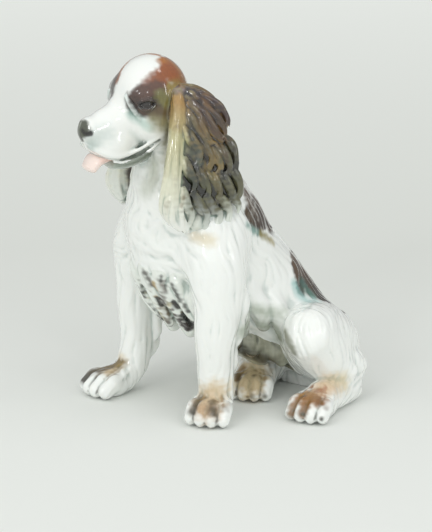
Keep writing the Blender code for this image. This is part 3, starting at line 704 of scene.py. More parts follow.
# The face: an eye is a ball set in a hollow between two lids
SOCKET, SOCKET_HALF = (20.5, -83.6, 206.6), (3.2, 5.6, 3.0)
EYEBALL, EYE_HALF = (17.2, -82.2, 206.2), (4.2, 4.4, 4.2)
# Whether a strand is carved out, its fillet, its radii and its path: the upper lid, the lower lid, the fold
# before the eye and the crease in it, the nostril, the lip as two rolls, and the groove between the lips
FACE = [
    (False, 0.6, (0.7, 1.3, 1.4, 0.7),
     (17.0, -88.6, 206.8), (19.2, -86.6, 209.4), (20.7, -83.0, 210.3), (21.3, -78.6, 208.2)),
    (False, 0.5, (0.6, 1.0, 1.0, 0.6),
     (17.2, -88.4, 206.2), (19.6, -85.9, 203.8), (20.9, -82.2, 203.6), (21.6, -78.4, 206.2)),
    (False, 0.9, (0.8, 1.4, 1.5, 0.6),
     (9.4, -93.6, 212), (11.9, -91.9, 207.4), (14.6, -89.2, 201.6), (16.4, -86.5, 196.4)),
    (True, 0.8, (0.5, 1.0, 0.5),
     (12.2, -91.6, 210.5), (14.4, -90.2, 206.4), (16.6, -88.2, 201.6)),
    (True, 0.6, (1.2, 1.5, 1.1, 0.5),
     (2.2, -121.6, 190.6), (4.6, -120.0, 188.6), (6.6, -117.0, 189.4), (7.4, -114.6, 191.6)),
    (False, 2.4, (0.8, 1.4, 1.6, 1.6, 1.6, 1.5, 1.2, 1.0, 0.4),
     (3.0, -117.0, 180.0), (7.2, -112.6, 178.0), (9.0, -108.0, 175.6), (10.2, -103.6, 174.2),
     (11.0, -98.3, 173.6), (11.4, -92.3, 174.4), (13.0, -85.3, 177), (16.6, -79.0, 181.4),
     (19.6, -74.5, 184.8)),
    (False, 1.2, (0.9, 1.2, 1.3, 1.3, 1.1, 0.5),
     (8.0, -101, 169.6), (9.6, -96, 168.8), (11.2, -90, 169.6), (13.4, -83.5, 172.6),
     (16.6, -78.0, 177.4), (19.0, -74.5, 181.6)),
    (True, 0.5, (0.6, 0.9, 1.0, 1.0, 0.9, 0.4),
     (9.0, -105, 172.0), (10.4, -98.5, 171.2), (12.0, -92.3, 171.9), (14.2, -85.3, 174.6),
     (17.8, -79.0, 179.3), (20.6, -75.0, 183.4)),
]
NOSE_GROOVE = [(-2, -121.8, 187), (-2, -121, 183), (-2, -118.5, 178)]


def on_face(rows, side):
    """Rows that count from the board, on the left side or mirrored about the middle of the head."""
    rows = np.array(rows, float)
    rows[:, 0] = HEAD_AT[0] + side * (rows[:, 0] - HEAD_AT[0])
    return rows


for side in (1, -1):
    socket, eyeball = on_face((SOCKET, EYEBALL), side)
    COAT.append((ball(socket, SOCKET_HALF, 1.2, side * 30), True))
    COAT.append((ball(eyeball, EYE_HALF, 0.3), False))
    for carve, fillet, radii, *rows in FACE:
        COAT.append((strand(on_face(rows, side), radii, fillet), carve))
COAT.append((strand(NOSE_GROOVE, (0.5, 0.7, 0.5), 0.6), True))

# The castings: each is cut from the clay where its own form ends, moulded in plaster and cast in porcelain
# slip. It dives a little under its neighbour at the cut, so that the seam is hidden by the fillet of slip,
# as it is on a fired figure.
OVERLAP = 4.0  # how far a casting runs on under its neighbour
SINK = 0.25  # how steeply it dives there
EDGE = 5.0  # the room left round it in its block


def skin(field, block):
    """Surface nets: one point in each cell that the surface crosses, at the mean of its crossings of the
    cell's edges, and one four-sided face across each grid edge that it crosses."""
    inside = field < 0
    nx, ny, nz = field.shape
    count = np.zeros((nx - 1, ny - 1, nz - 1), np.int8)
    for i in (0, 1):
        for j in (0, 1):
            for k in (0, 1):
                count += inside[i:nx - 1 + i, j:ny - 1 + j, k:nz - 1 + k]
    mixed = (count > 0) & (count < 8)
    cells = np.argwhere(mixed)
    index = np.full(mixed.shape, -1, np.int64)
    index[mixed] = np.arange(len(cells))
    total, hits = np.zeros((len(cells), 3)), np.zeros(len(cells))
    for axis in range(3):
        step = np.eye(3, dtype=int)[axis]
        for j in (0, 1):
            for k in (0, 1):
                corner = np.insert(np.array([j, k]), axis, 0)
                a = field[tuple((cells + corner).T)]
                b = field[tuple((cells + corner + step).T)]
                cross = (a < 0) != (b < 0)
                t = np.where(cross, a / np.where(cross, a - b, 1), 0)
                total += cross[:, None] * (corner + t[:, None] * step)
                hits += cross
    points = block.low + block.step * (cells + total / hits[:, None])
    faces = []
    for axis in range(3):
        b, c = (axis + 1) % 3, (axis + 2) % 3
        step = np.eye(3, dtype=int)
        here = [slice(1, -1)] * 3
        here[axis] = slice(0, -1)
        there = list(here)
        there[axis] = slice(1, None)
        crossing = inside[tuple(here)] != inside[tuple(there)]
        edges = np.argwhere(crossing) + [0 if n == axis else 1 for n in range(3)]
        ring = [edges - step[b] - step[c], edges - step[c], edges, edges - step[b]]
        quad = np.stack([index[tuple(corner.T)] for corner in ring], axis=1)
        outward = inside[tuple(edges.T)]
        faces.append(np.where(outward[:, None], quad, quad[:, ::-1]))
    return points, np.vstack(faces)


def casting_mesh(name, step):
    """The points and faces of one casting, in the clay's millimetres."""
    low = np.min([form.low for form in CLAY[name]], axis=0) - EDGE
    high = np.max([form.high for form in CLAY[name]], axis=0) + EDGE
    low[2] = max(low[2], -2 * step)
    block = block_around(low, high, step)
    own, whole = model(block)
    others = np.min([field for other, field in own.items() if other != name], axis=0)
    beyond = own[name] - others
    field = np.maximum(whole + SINK * np.maximum(beyond, 0), 0.5 * (beyond - OVERLAP))
    z = block.low[2] + block.step * np.arange(block.shape[2])
    field = np.maximum(field, -z[None, None, :].astype(np.float32))
    return skin(field, block)


def colour(code):
    """sRGB hex to linear red, green and blue."""
    value = np.array([int(code[n:n + 2], 16) / 255 for n in (1, 3, 5)])
    return np.where(value <= 0.04045, value / 12.92, ((value + 0.055) / 1.055) ** 2.4)


def ease(value, low, high):
    """Smooth step from 0 at low to 1 at high."""
    t = np.clip((value - low) / (high - low), 0, 1)
    return t * t * (3 - 2 * t)


def mottle(points, size, seed):
    """Soft noise between 0 and 1 with features of about a size in millimetres: a sum of eight sine waves."""
    dice = np.random.default_rng(seed)
    ways = dice.normal(size=(8, 3))
    ways *= (2 * np.pi / size * dice.uniform(0.4, 1.1, 8) / np.linalg.norm(ways, axis=1))[:, None]
    total = np.sin(points @ ways.T + dice.uniform(0, 6.28, 8)).sum(axis=1)
    return 0.5 + 0.5 * np.tanh(total / 2.2)


# The edge of a sprayed stroke is ragged at two sizes, in millimetres, by where the bristles and drops fell
COARSE_RAG, FINE_RAG = 7.0, 3.0


def brush(tints, points, root, tip, radius, path, soft=0.5, strength=1.0, ragged=0.16):
    """An airbrushed stroke: full out to a share of the radius, then fading by a smooth step, with a ragged
    edge, from one colour at its start to another at its end."""
    path = np.array(path, float)
    a, axis = path[:-1], np.diff(path, axis=0)
    if len(path) == 1:
        a, axis = path, np.zeros((1, 3))
    middle, half = (path.min(axis=0) + path.max(axis=0)) / 2, np.ptp(path, axis=0) / 2
    where = np.flatnonzero((np.abs(points - middle) < half + 1.6 * radius).all(axis=1))
    if not len(where):
        return
    off = points[where][:, None, :] - a[None]
    t = np.clip((off * axis).sum(axis=2) / np.maximum((axis * axis).sum(axis=1), 1e-6), 0, 1)
    gap = np.linalg.norm(off - t[..., None] * axis, axis=2)
    best = gap.argmin(axis=1)
    pick = np.arange(len(where))
    s = (best + t[pick, best]) / len(a)
    rag = mottle(points[where], COARSE_RAG, 3) + mottle(points[where], FINE_RAG, 4) - 1
    edge = gap[pick, best] / radius + ragged * rag
    mask = strength * (1 - ease(edge, 1 - soft, 1 + 0.3 * soft))[:, None]
    shade = colour(root) * (1 - s[:, None]) + colour(tip) * s[:, None]
    tints[where] = tints[where] * (1 - mask) + shade * mask


def grooves(points, faces, normals, rounds):
    """How far each point lies below the smoothed surface, in millimetres: the points are averaged with their
    neighbours some rounds, and the shift is measured along the normal."""
    ends = np.vstack([faces[:, [0, 1]], faces[:, [1, 2]], faces[:, [2, 3]], faces[:, [3, 0]]])
    one, two = np.concatenate([ends[:, 0], ends[:, 1]]), np.concatenate([ends[:, 1], ends[:, 0]])
    count = np.bincount(one, minlength=len(points))[:, None]
    smooth = points
    for _ in range(rounds):
        smooth = np.stack([np.bincount(one, smooth[two, n], len(points)) for n in range(3)], axis=1) / count
    return ((smooth - points) * normals).sum(axis=1)


def add(tree, kind, links=(), **settings):
    """Adds a node: settings that name an input fill it, others are attributes, and links are pairs of an
    input and a socket."""
    node = tree.nodes.new(kind)
    for key, value in settings.items():
        if key in node.inputs:
            node.inputs[key].default_value = value
        else:
            setattr(node, key, value)
    for place, socket in links:
        tree.links.new(socket, node.inputs[place])
    return node


MM = 0.001
# What the eye sees in the glaze, in millimetres: streaks that run down in the sprayed colours, patches where
# the glaze is duller or brighter, and the slow ripple on it. A sprayed streak is finer than 1 mm, and is
# drawn this coarse so that it shows.
STREAK = (1.54, 1.54, 8.33)
PATCH = 6.25
RIPPLE = 4.55
GLAZE_DEPTH = 0.4
CLEAR_GLAZE = 1.5


def porcelain(name, rough=0.16, ripple=0.25, coat=0.8):
    """Hard-paste porcelain, airbrushed under a clear fired glaze: white and a little translucent in the
    body, mirror-bright on top, with the slow ripple of a glaze that ran in the kiln, and fine streaks in the
    colours but not in the white."""
    made = bpy.data.materials.new(name)
    made.use_nodes = True
    tree = made.node_tree
    shader = tree.nodes["Principled BSDF"]
    place = add(tree, "ShaderNodeTexCoord").outputs["Object"]
    tint = add(tree, "ShaderNodeAttribute", attribute_name="tint").outputs["Color"]
    stretched = add(tree, "ShaderNodeMapping", [("Vector", place)],
                    Scale=[1 / (MM * size) for size in STREAK])
    streaks = add(tree, "ShaderNodeTexNoise", [("Vector", stretched.outputs[0])], Scale=1.0, Detail=3.0)
    level = add(tree, "ShaderNodeMapRange", [("Value", streaks.outputs[0])],
                **{"From Min": 0.3, "From Max": 0.7, "To Min": 0.88, "To Max": 1.06})
    grey = add(tree, "ShaderNodeRGBToBW", [("Color", tint)])
    pale = add(tree, "ShaderNodeMapRange", [("Value", grey.outputs[0])],
               **{"From Min": 0.4, "From Max": 0.8})
    even = add(tree, "ShaderNodeMix", [("Factor", pale.outputs[0]), ("A", level.outputs[0])], B=1.0)
    mixed = add(tree, "ShaderNodeVectorMath", [(0, tint), (1, even.outputs[0])], operation="MULTIPLY")
    tree.links.new(mixed.outputs[0], shader.inputs["Base Color"])
    patches = add(tree, "ShaderNodeTexNoise", [("Vector", place)], Scale=1 / (MM * PATCH), Detail=2.0)
    gloss = add(tree, "ShaderNodeMapRange", [("Value", patches.outputs[0])],
                **{"To Min": rough * 0.6, "To Max": rough * 1.4})
    tree.links.new(gloss.outputs[0], shader.inputs["Roughness"])
    wave = add(tree, "ShaderNodeTexNoise", [("Vector", place)], Scale=1 / (MM * RIPPLE), Detail=1.0)
    height = add(tree, "ShaderNodeMath", [(0, streaks.outputs[0]), (2, wave.outputs[0])],
                 operation="MULTIPLY_ADD")
    height.inputs[1].default_value = 0.4
    bump = add(tree, "ShaderNodeBump", [("Height", height.outputs[0])], Strength=ripple,
               Distance=GLAZE_DEPTH * MM)
    tree.links.new(bump.outputs[0], shader.inputs["Normal"])
    shader.inputs["IOR"].default_value = CLEAR_GLAZE
    shader.inputs["Coat Weight"].default_value = coat
    shader.inputs["Coat Roughness"].default_value = 0.03
    shader.inputs["Subsurface Weight"].default_value = 0.12
    shader.inputs["Subsurface Radius"].default_value = (1.0, 0.9, 0.8)
    shader.inputs["Subsurface Scale"].default_value = 2 * MM
    return made


ORIGIN = np.array([17.6581, -14.3189, 0.0])  # the place on the modeller's board that is the part's origin
WHITE = "#F3F5F2"
# The tint of glaze that pools in the grooves and hollows, which also darkens them as painted shade
POOL_AND_SHADE = "#B4C4C0"
# Glaze pools between strands, and in wide hollows, and painted shade darkens them too. For each: the rounds
# of smoothing at steps of 1 mm that find it, and the depths in millimetres at which it starts and is full.
POOL_AND_SHADE_DEPTHS = ((8, 0.02, 0.35), (30, 0.1, 1.2))
POOL_AND_SHADE_SHARE = 0.6
STEP_SCALE = 1.0


def cast(name, step, strokes, glaze, base=WHITE, pooled_and_shaded=0.45, pool_and_shade_tint=POOL_AND_SHADE):
    """Cuts one casting from the clay, paints it with its strokes, darkens its grooves with pooled glaze and
    painted shade, and fits it. On dark paint that darkening takes its own tint."""
    step *= STEP_SCALE
    points, faces = casting_mesh(name, step)
    mesh = bpy.data.meshes.new(name + "_porcelain")
    mesh.from_pydata((points - ORIGIN) * MM, [], faces.tolist())
    mesh.shade_smooth()
    normals = np.empty(len(points) * 3, np.float32)
    mesh.vertices.foreach_get("normal", normals)
    normals = normals.reshape(-1, 3)
    pool_and_shade = 0
    for rounds, start, full in POOL_AND_SHADE_DEPTHS:
        depth = grooves(points, faces, normals, int(round(rounds / step**1.5)))
        pool_and_shade = pool_and_shade + POOL_AND_SHADE_SHARE * ease(depth, start, full)
    pool_and_shade = np.clip(pool_and_shade, 0, 1) * pooled_and_shaded
    tints = np.tile(colour(base), (len(points), 1))
    for root, tip, radius, path, kept in strokes:
        brush(tints, points, root, tip, radius, path, **kept)
    dark = ease(1 - tints.mean(axis=1), 0.35, 0.8)[:, None]
    tints *= 1 - pool_and_shade[:, None] * (1 - colour(POOL_AND_SHADE) - (colour(pool_and_shade_tint) - colour(POOL_AND_SHADE)) * dark)
    layer = mesh.attributes.new("tint", "FLOAT_COLOR", "POINT")
    layer.data.foreach_set("color", np.column_stack([tints,
                                                     np.ones(len(tints))]).astype(np.float32).ravel())
    mesh.materials.append(glaze)
    piece = bpy.data.objects.new(name + "_porcelain", mesh)
    bpy.context.scene.collection.objects.link(piece)
    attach(piece, "root")
    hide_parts(name)


def stroke(root, tip, radius, *path, mirrored=False, **kept):
    """Rows for the brush: the colours at a stroke's start and end, its radius in millimetres, its path, and
    how soft, strong or ragged it is. A mirrored one is there on the right side of the head too."""
    path = np.array(path, float)
    rows = [(root, tip, radius, path, kept)]
    if mirrored:
        rows.append((root, tip, radius, path * (-1, 1, 1) + (2 * HEAD_AT[0], 0, 0), kept))
    return rows


# Torso: the body with neck and shoulders, a hollow casting of hard-paste porcelain from a plaster mould. It
# carries all the others. Its patches are sprayed brown, with a green and a blue-green edge where the colour
# ran in the kiln, and painted shade in grey and olive lies under the jaw, the flank and the left thigh.
TORSO_STROKES = [
    *stroke("#5A4630", "#43311F", 10, (14, -18, 146), (20, -10, 134), (20, -2, 124), (20, 2, 118),
            soft=0.4),
    *stroke("#5A4630", "#3C2C1D", 7, (28, -17, 141), (30, -15, 133), (33, -14, 127), (35, -15, 124),
            soft=0.4),
    *stroke("#4E3C28", "#3C2C1D", 6, (24, -9, 136), (27, -6, 127), (29, -6, 121), soft=0.4),
    *stroke("#5A4630", "#43311F", 9, (6, -12, 144), (8, -2, 130), (10, 4, 120), soft=0.4),
    *stroke("#2E2119", "#2E2119", 4, (22, -12, 140), (24, -6, 130), (24, 0, 120), soft=0.8, strength=0.8),
    *stroke("#4E3C28", "#3C2C1D", 5.5, (36, -19, 132), (36, -15, 126), (35, -11, 121),
            soft=0.4, ragged=0.2),
    *stroke("#7FA39B", "#9CBDB5", 3.6, (42, -23, 126), (39, -18, 121), (35, -12, 118),
            soft=0.9, strength=0.85),
    *stroke("#857A3C", "#A3965A", 4, (34, -8, 116), (32, -3, 112), (30, 2, 108), soft=0.8, strength=0.95),
    *stroke("#4E3C28", "#3C2C1D", 7, (22, 25, 93), (25, 28, 86), (29, 27, 80), soft=0.35),
    *stroke("#4E3C28", "#33261A", 8, (21, 33, 84), (26, 33, 77), (30, 32, 71), soft=0.35),
    *stroke("#43311F", "#2E2119", 8, (18, 42, 76), (24, 43, 70), (30, 40, 65), soft=0.35),
    *stroke("#43311F", "#33241A", 10, (8, 28, 97), (10, 40, 86), (10, 54, 75), (10, 64, 63), soft=0.35),
    *stroke("#5F4B38", "#43311F", 5, (27, 23, 93), (31, 22, 87), (34, 22, 81), (36.5, 22, 75),
            soft=0.4, ragged=0.25),
    *stroke("#54412F", "#3C2C1D", 6, (25, 29, 90), (29, 31, 83), (32, 32, 76), (34, 34, 71),
            soft=0.3, ragged=0.2),
    *stroke("#33261A", "#241A14", 6, (32, 42, 67), (27, 48, 64), (20, 54, 61), soft=0.4, ragged=0.2),
    *stroke("#3C2C1D", "#33261A", 3.6, (40, 43, 64), (45, 45, 62), (48, 48, 60), soft=0.6, ragged=0.3),
    *stroke("#2E2119", "#241A14", 6, (15, 51, 68), (22, 52, 62), (29, 46, 61), soft=0.5),
    *stroke("#3F5F57", "#5C8478", 5, (34, 26, 79), (36, 29, 74), (36, 34, 70), soft=0.7, strength=0.95),
    *stroke("#8FC6C4", "#C0DDD9", 5, (38.5, 17, 80), (40, 20, 73), (41.5, 25, 68), (39, 34, 64),
            soft=0.95, strength=0.8),
    # Painted shade under the jaw: grey and olive down the side and the front of the neck
    *stroke("#7E7A5A", "#B9B79E", 5, (21, -70, 180), (19.5, -69, 172), (19.5, -68, 163),
            soft=0.9, strength=0.75),
    *stroke("#A6AC98", "#C6CABE", 8, (15, -77, 167), (15, -77, 157), (10, -79, 149),
            soft=0.95, strength=0.75),
    # Painted shade: olive down the inner front of the left thigh, beside the shaded belly
    *stroke("#8A8C76", "#6E705C", 4.5, (56, -4, 54), (60, -4, 50), (64, -3, 45), (67, -2, 40),
            soft=0.7, strength=0.85),
    # Painted shade along the underside of the left flank, greyer and darker downwards
    *stroke("#C0C8BA", "#B0BAAA", 6, (46, -26, 70), (45, -16, 68), (43, -8, 66), (43, 2, 64), (46, 8, 60),
            soft=0.9, strength=0.85),
    *stroke("#A6B09E", "#8C9482", 7, (50, -32, 58), (42, -16, 57), (41, -4, 53), (41, 4, 47),
            soft=0.9, strength=0.9),
    *stroke("#8C9482", "#767C68", 5, (46, -34, 54), (39, -12, 49), (38, 0, 44), soft=0.8, strength=0.9),
    *stroke("#DCE3E0", "#E3E9E6", 3, (46, -8, 102), (46, 0, 92), soft=0.9, strength=0.4),
]
# Left white by the brush: bright and smooth, so that the hair shows by its highlights
body_glaze = porcelain("porcelain_white_under_clear_glaze")
cast("torso", 1.0, TORSO_STROKES, body_glaze)

# Feathering: the tufts under the chest and the skirt of hair under the belly, pressed solid in the porcelain
# body and luted to the torso. The chest tufts are brushed one by one, white at the root and dark at the tip,
# and the skirt is painted grey olive as shade.
TUFT_TINTS = [
    ("#4F574C", "#2F332C"), ("#A48C5C", "#3F3B38"), ("#4A3833", "#332B2A"), ("#5F685E", "#30362F"),
    ("#B79C66", "#3A3A36"), ("#C3AA78", "#484F46"), ("#B9C0B6", "#6B7268"), ("#7A7A70", "#4A4A44"),
]
# Short touches of the brush between the tufts
TOUCHES = [
    (4, -78, 90, "#3A3A34"), (13, -75, 88, "#5C4A30"), (12, -72, 76, "#2E2F2A"), (22, -66, 76, "#33302C"),
    (22, -60, 66, "#2A2C28"), (-4, -76, 80, "#44483F"), (28, -56, 62, "#2C302A"), (8, -70, 68, "#B8B49A"),
    (17, -69, 78, "#C9C3A4"), (1, -75, 76, "#CFCBB2"),
]
# Longer, softer ones over them: the colours at the start and end, the radius and the path
SHADES = [
    ("#4A4640", "#3A3632", 3, (8, -80, 94), (11, -78.5, 90), (13.3, -77.4, 86.3)),
    ("#5A463C", "#3A302C", 3.6, (20.5, -73.5, 89), (19, -72, 84), (16.5, -70.5, 77), (15.6, -69.8, 73.6)),
    ("#B79C66", "#A8905C", 2.4, (15, -76.5, 88), (16, -75, 84)),
    ("#2C302E", "#2C302E", 2.2, (21, -75, 93), (20.5, -74.5, 90)),
    ("#33352F", "#33352F", 2.4, (26, -68.5, 88), (27, -67.5, 84.5)),
    ("#33352F", "#2A2C28", 2.6, (27.5, -66.5, 81), (28, -65, 78)),
    ("#3A3C34", "#2C2E2A", 2.2, (29.6, -62.5, 75), (29.8, -60, 70)),
]
CHEST_STROKES = []
for (radius, *path), (root, tip) in zip(CHEST_TUFTS, TUFT_TINTS):
    CHEST_STROKES += stroke("#EDF0EB", "#DCE0D8", radius * 1.1, *path[:3], soft=0.5, ragged=0.5)
    CHEST_STROKES += stroke(root, tip, radius * 1.05, *path[2:], soft=0.5, ragged=0.5)
for x, y, z, tint in TOUCHES:
    CHEST_STROKES += stroke(tint, tint, 2.6, (x, y, z), (x + 1, y + 2, z - 5), soft=0.7, ragged=0.5)
for root, tip, radius, *path in SHADES:
    CHEST_STROKES += stroke(root, tip, radius, *path, soft=0.9, ragged=0.5, strength=0.85)
cast("chest_feathering", 0.6, CHEST_STROKES, body_glaze, "#E6EAE4", 0.7, "#6E7670")
# Painted shade under the belly: the skirt grey olive all over, darkest in its recess
BELLY_SHADE_STROKES = [
    *stroke("#8B8C78", "#7A7A66", 12, (14, -26, 52), (20, -8, 42), (24, 8, 34), (26, 24, 22),
            soft=0.9, strength=0.8),
    *stroke("#2A2A22", "#4E4A3A", 8, (20, -20, 40), (24, -8, 31), (26, 6, 24), soft=0.8, strength=0.9),
    *stroke("#6A6654", "#55513F", 4, (26, 10, 28), (28, 26, 16), soft=0.8, strength=0.8),
]
cast("belly_feathering", 0.8, BELLY_SHADE_STROKES, body_glaze, "#B9BAA6", 0.9, "#6A6C5C")

# Legs and tail: the legs are slip-cast in moulds of their own, hollow in the shaft, and luted to shoulder
# and hip, and the docked tail is pressed and luted to the rump. The paws are brushed ochre and brown over
# the toes, with fine streaks down the hair.
LEFT_FORE, RIGHT_FORE, LEFT_HIND, RIGHT_HIND = PAW_PLACES


def paw_stroke(leg, root, tip, radius, *path, **kept):
    """A stroke on a paw, whose path counts from the pastern: aside to the paw's left, ahead to its toes, and
    height."""
    x, y, heading = PAW_PLACES[leg]
    turn = np.radians(heading)
    c, s = np.cos(turn), np.sin(turn)
    placed = [(x + c * u + s * v, y + s * u - c * v, z) for u, v, z in path]
    return stroke(root, tip, radius, *placed, **kept)


# The wash over each paw
LEG_STROKES = [
    *paw_stroke(LEFT_FORE, "#DCC8A0", "#B48C56", 12, (0, 0, 22), (0, 9, 17), (0, 17, 15), (0, 21, 12),
                soft=0.6, strength=0.85),
    *paw_stroke(RIGHT_FORE, "#DCC79E", "#C2A26C", 6, (0, -2, 22), (2, 6, 18), (3, 14, 16),
                soft=0.8, strength=0.8),
    *paw_stroke(LEFT_HIND, "#E2D2AE", "#C08A50", 10, (6, -14, 18), (4, -4, 18), (2, 8, 17), (1, 17, 15),
                soft=0.7, strength=0.85),
    *paw_stroke(RIGHT_HIND, "#B9A67C", "#C4AC7E", 13, (0, -12, 16), (0, 4, 14), (0, 16, 12), (0, 20, 9),
                soft=0.4, strength=0.9),
]
# The streaks down its hair, and the lines between its toes
PAW_TINTS = [("#7A5A32", "#3A3524"), ("#8A6C40", "#3A3524"), ("#9A5A2C", "#38402E"), ("#8A6E48", "#4A3C2A")]
for leg, (streak, line) in zip(PAW_PLACES, PAW_TINTS):
    for step in (-1.7, -1.2, -0.6, -0.1, 0.4, 0.9, 1.4):
        path = [(step * 2.6, 1, 19), (step * 4.8, 8, 17), (step * 6.6, 15, 15.6), (step * 7.4, 20, 13.5)]
        LEG_STROKES += paw_stroke(leg, streak, streak, 1.3, *path, soft=0.9, strength=0.65, ragged=0.6)
    for step in (-1, 0, 1):
        path = [(step * 7, 15, 13.6), (step * 7.5, 20, 12), (step * 7.8, 25, 8.5), (step * 8, 28, 5)]
        LEG_STROKES += paw_stroke(leg, line, line, 1.2, *path, soft=0.8, strength=0.8)
# The darker touches on the toes, and the ochre on the left shoulder
LEG_STROKES += [
    *paw_stroke(LEFT_FORE, "#6E5A36", "#33301F", 3.8, (-6, 14, 16), (-8, 20, 13), (-9, 24, 10),
                soft=0.8, strength=0.9),
    *paw_stroke(LEFT_FORE, "#C9AC74", "#8A6C3C", 1.4, (-3, 2, 20), (-4, 9, 18), (-5, 15, 16),
                soft=0.9, strength=0.8),
    *paw_stroke(LEFT_FORE, "#C9AC74", "#8A6C3C", 1.4, (4, 1, 20), (6, 8, 18), (8, 15, 16),
                soft=0.9, strength=0.8),
    *paw_stroke(LEFT_FORE, "#5A4A2C", "#33301F", 3.6, (3, 17, 15.5), (4, 22, 13), (4.5, 25, 10),
                soft=0.7, strength=0.9),
    *paw_stroke(LEFT_FORE, "#8A6C3C", "#5A4A2C", 3, (11, 16, 14), (12, 20, 12), soft=0.8, strength=0.7),
    *paw_stroke(RIGHT_FORE, "#7A6638", "#2F2A1C", 5.5, (2, 0, 19), (-1, 7, 18), (-4, 14, 16),
                (-7, 19, 13.5), (-10, 23, 10), soft=0.5, strength=0.95),
    *paw_stroke(RIGHT_FORE, "#A8905A", "#6A5630", 1.6, (3, 3, 19.5), (1, 9, 18), (-2, 15, 16.5),
                soft=0.8, strength=0.8),
    *paw_stroke(RIGHT_FORE, "#5A4C2C", "#3A3424", 2, (1, 16, 15), (0, 21, 12.5), (0, 26, 8), soft=0.7),
    *paw_stroke(LEFT_HIND, "#A0702C", "#86581E", 7, (-5, 14, 15.5), (0, 18, 15.5), (5, 18, 14.5),
                soft=0.5, strength=0.95),
    *paw_stroke(LEFT_HIND, "#94662C", "#7E5824", 5, (-7, 18, 12.5), (-8, 22, 9.5), (-8.5, 25, 7),
                soft=0.5, strength=0.9),
    *paw_stroke(LEFT_HIND, "#94662C", "#7A521F", 5, (0, 19, 13.5), (0, 23, 11), (0, 26, 8),
                soft=0.5, strength=0.9),
    *paw_stroke(LEFT_HIND, "#74421A", "#663814", 2.4, (-4, 17, 15), (-4.5, 22, 11.5), (-4.5, 25, 8.5),
                soft=0.7, strength=0.85),
    *paw_stroke(LEFT_HIND, "#3C4A34", "#2E3A2C", 1.8, (-9, 24, 8), (-3.5, 27, 7.5), (3, 27.5, 7.5),
                soft=0.7, strength=0.85),
    *paw_stroke(LEFT_HIND, "#9A6434", "#5A3A20", 2.6, (11, 16, 14), (12, 21, 11), soft=0.7, strength=0.85),
    *paw_stroke(LEFT_HIND, "#2E2C20", "#2E2C20", 1.8, (11.5, 24, 8), (12, 26, 6), soft=0.6, strength=0.9),
    *paw_stroke(RIGHT_HIND, "#8A6A38", "#5A4224", 5, (-8, 8, 16), (-9, 13, 15), (-9, 17, 13.5),
                soft=0.6, strength=0.85),
    *paw_stroke(RIGHT_HIND, "#4A3A24", "#3A2E22", 2.4, (2, 16, 15), (3, 20, 13), soft=0.6, strength=0.85),
    *paw_stroke(RIGHT_HIND, "#4A4434", "#4A4434", 2.6, (-8, 24, 8), (-7.5, 26, 6), soft=0.7, strength=0.8),
    *paw_stroke(RIGHT_HIND, "#4A4434", "#4A4434", 2.6, (3, 26, 8), (3.5, 28, 6), soft=0.7, strength=0.8),
    *paw_stroke(RIGHT_HIND, "#4A4434", "#4A4434", 2.2, (11, 24, 8), (11, 26, 6), soft=0.7, strength=0.8),
    *stroke("#C9B27C", "#D6C496", 6, (43, -61, 123), (50, -55, 121), soft=0.9, strength=0.55),
]
for name in ("foreleg_left", "foreleg_right", "hind_leg_left", "hind_leg_right", "tail"):
    cast(name, 0.8, TORSO_STROKES + LEG_STROKES, body_glaze)

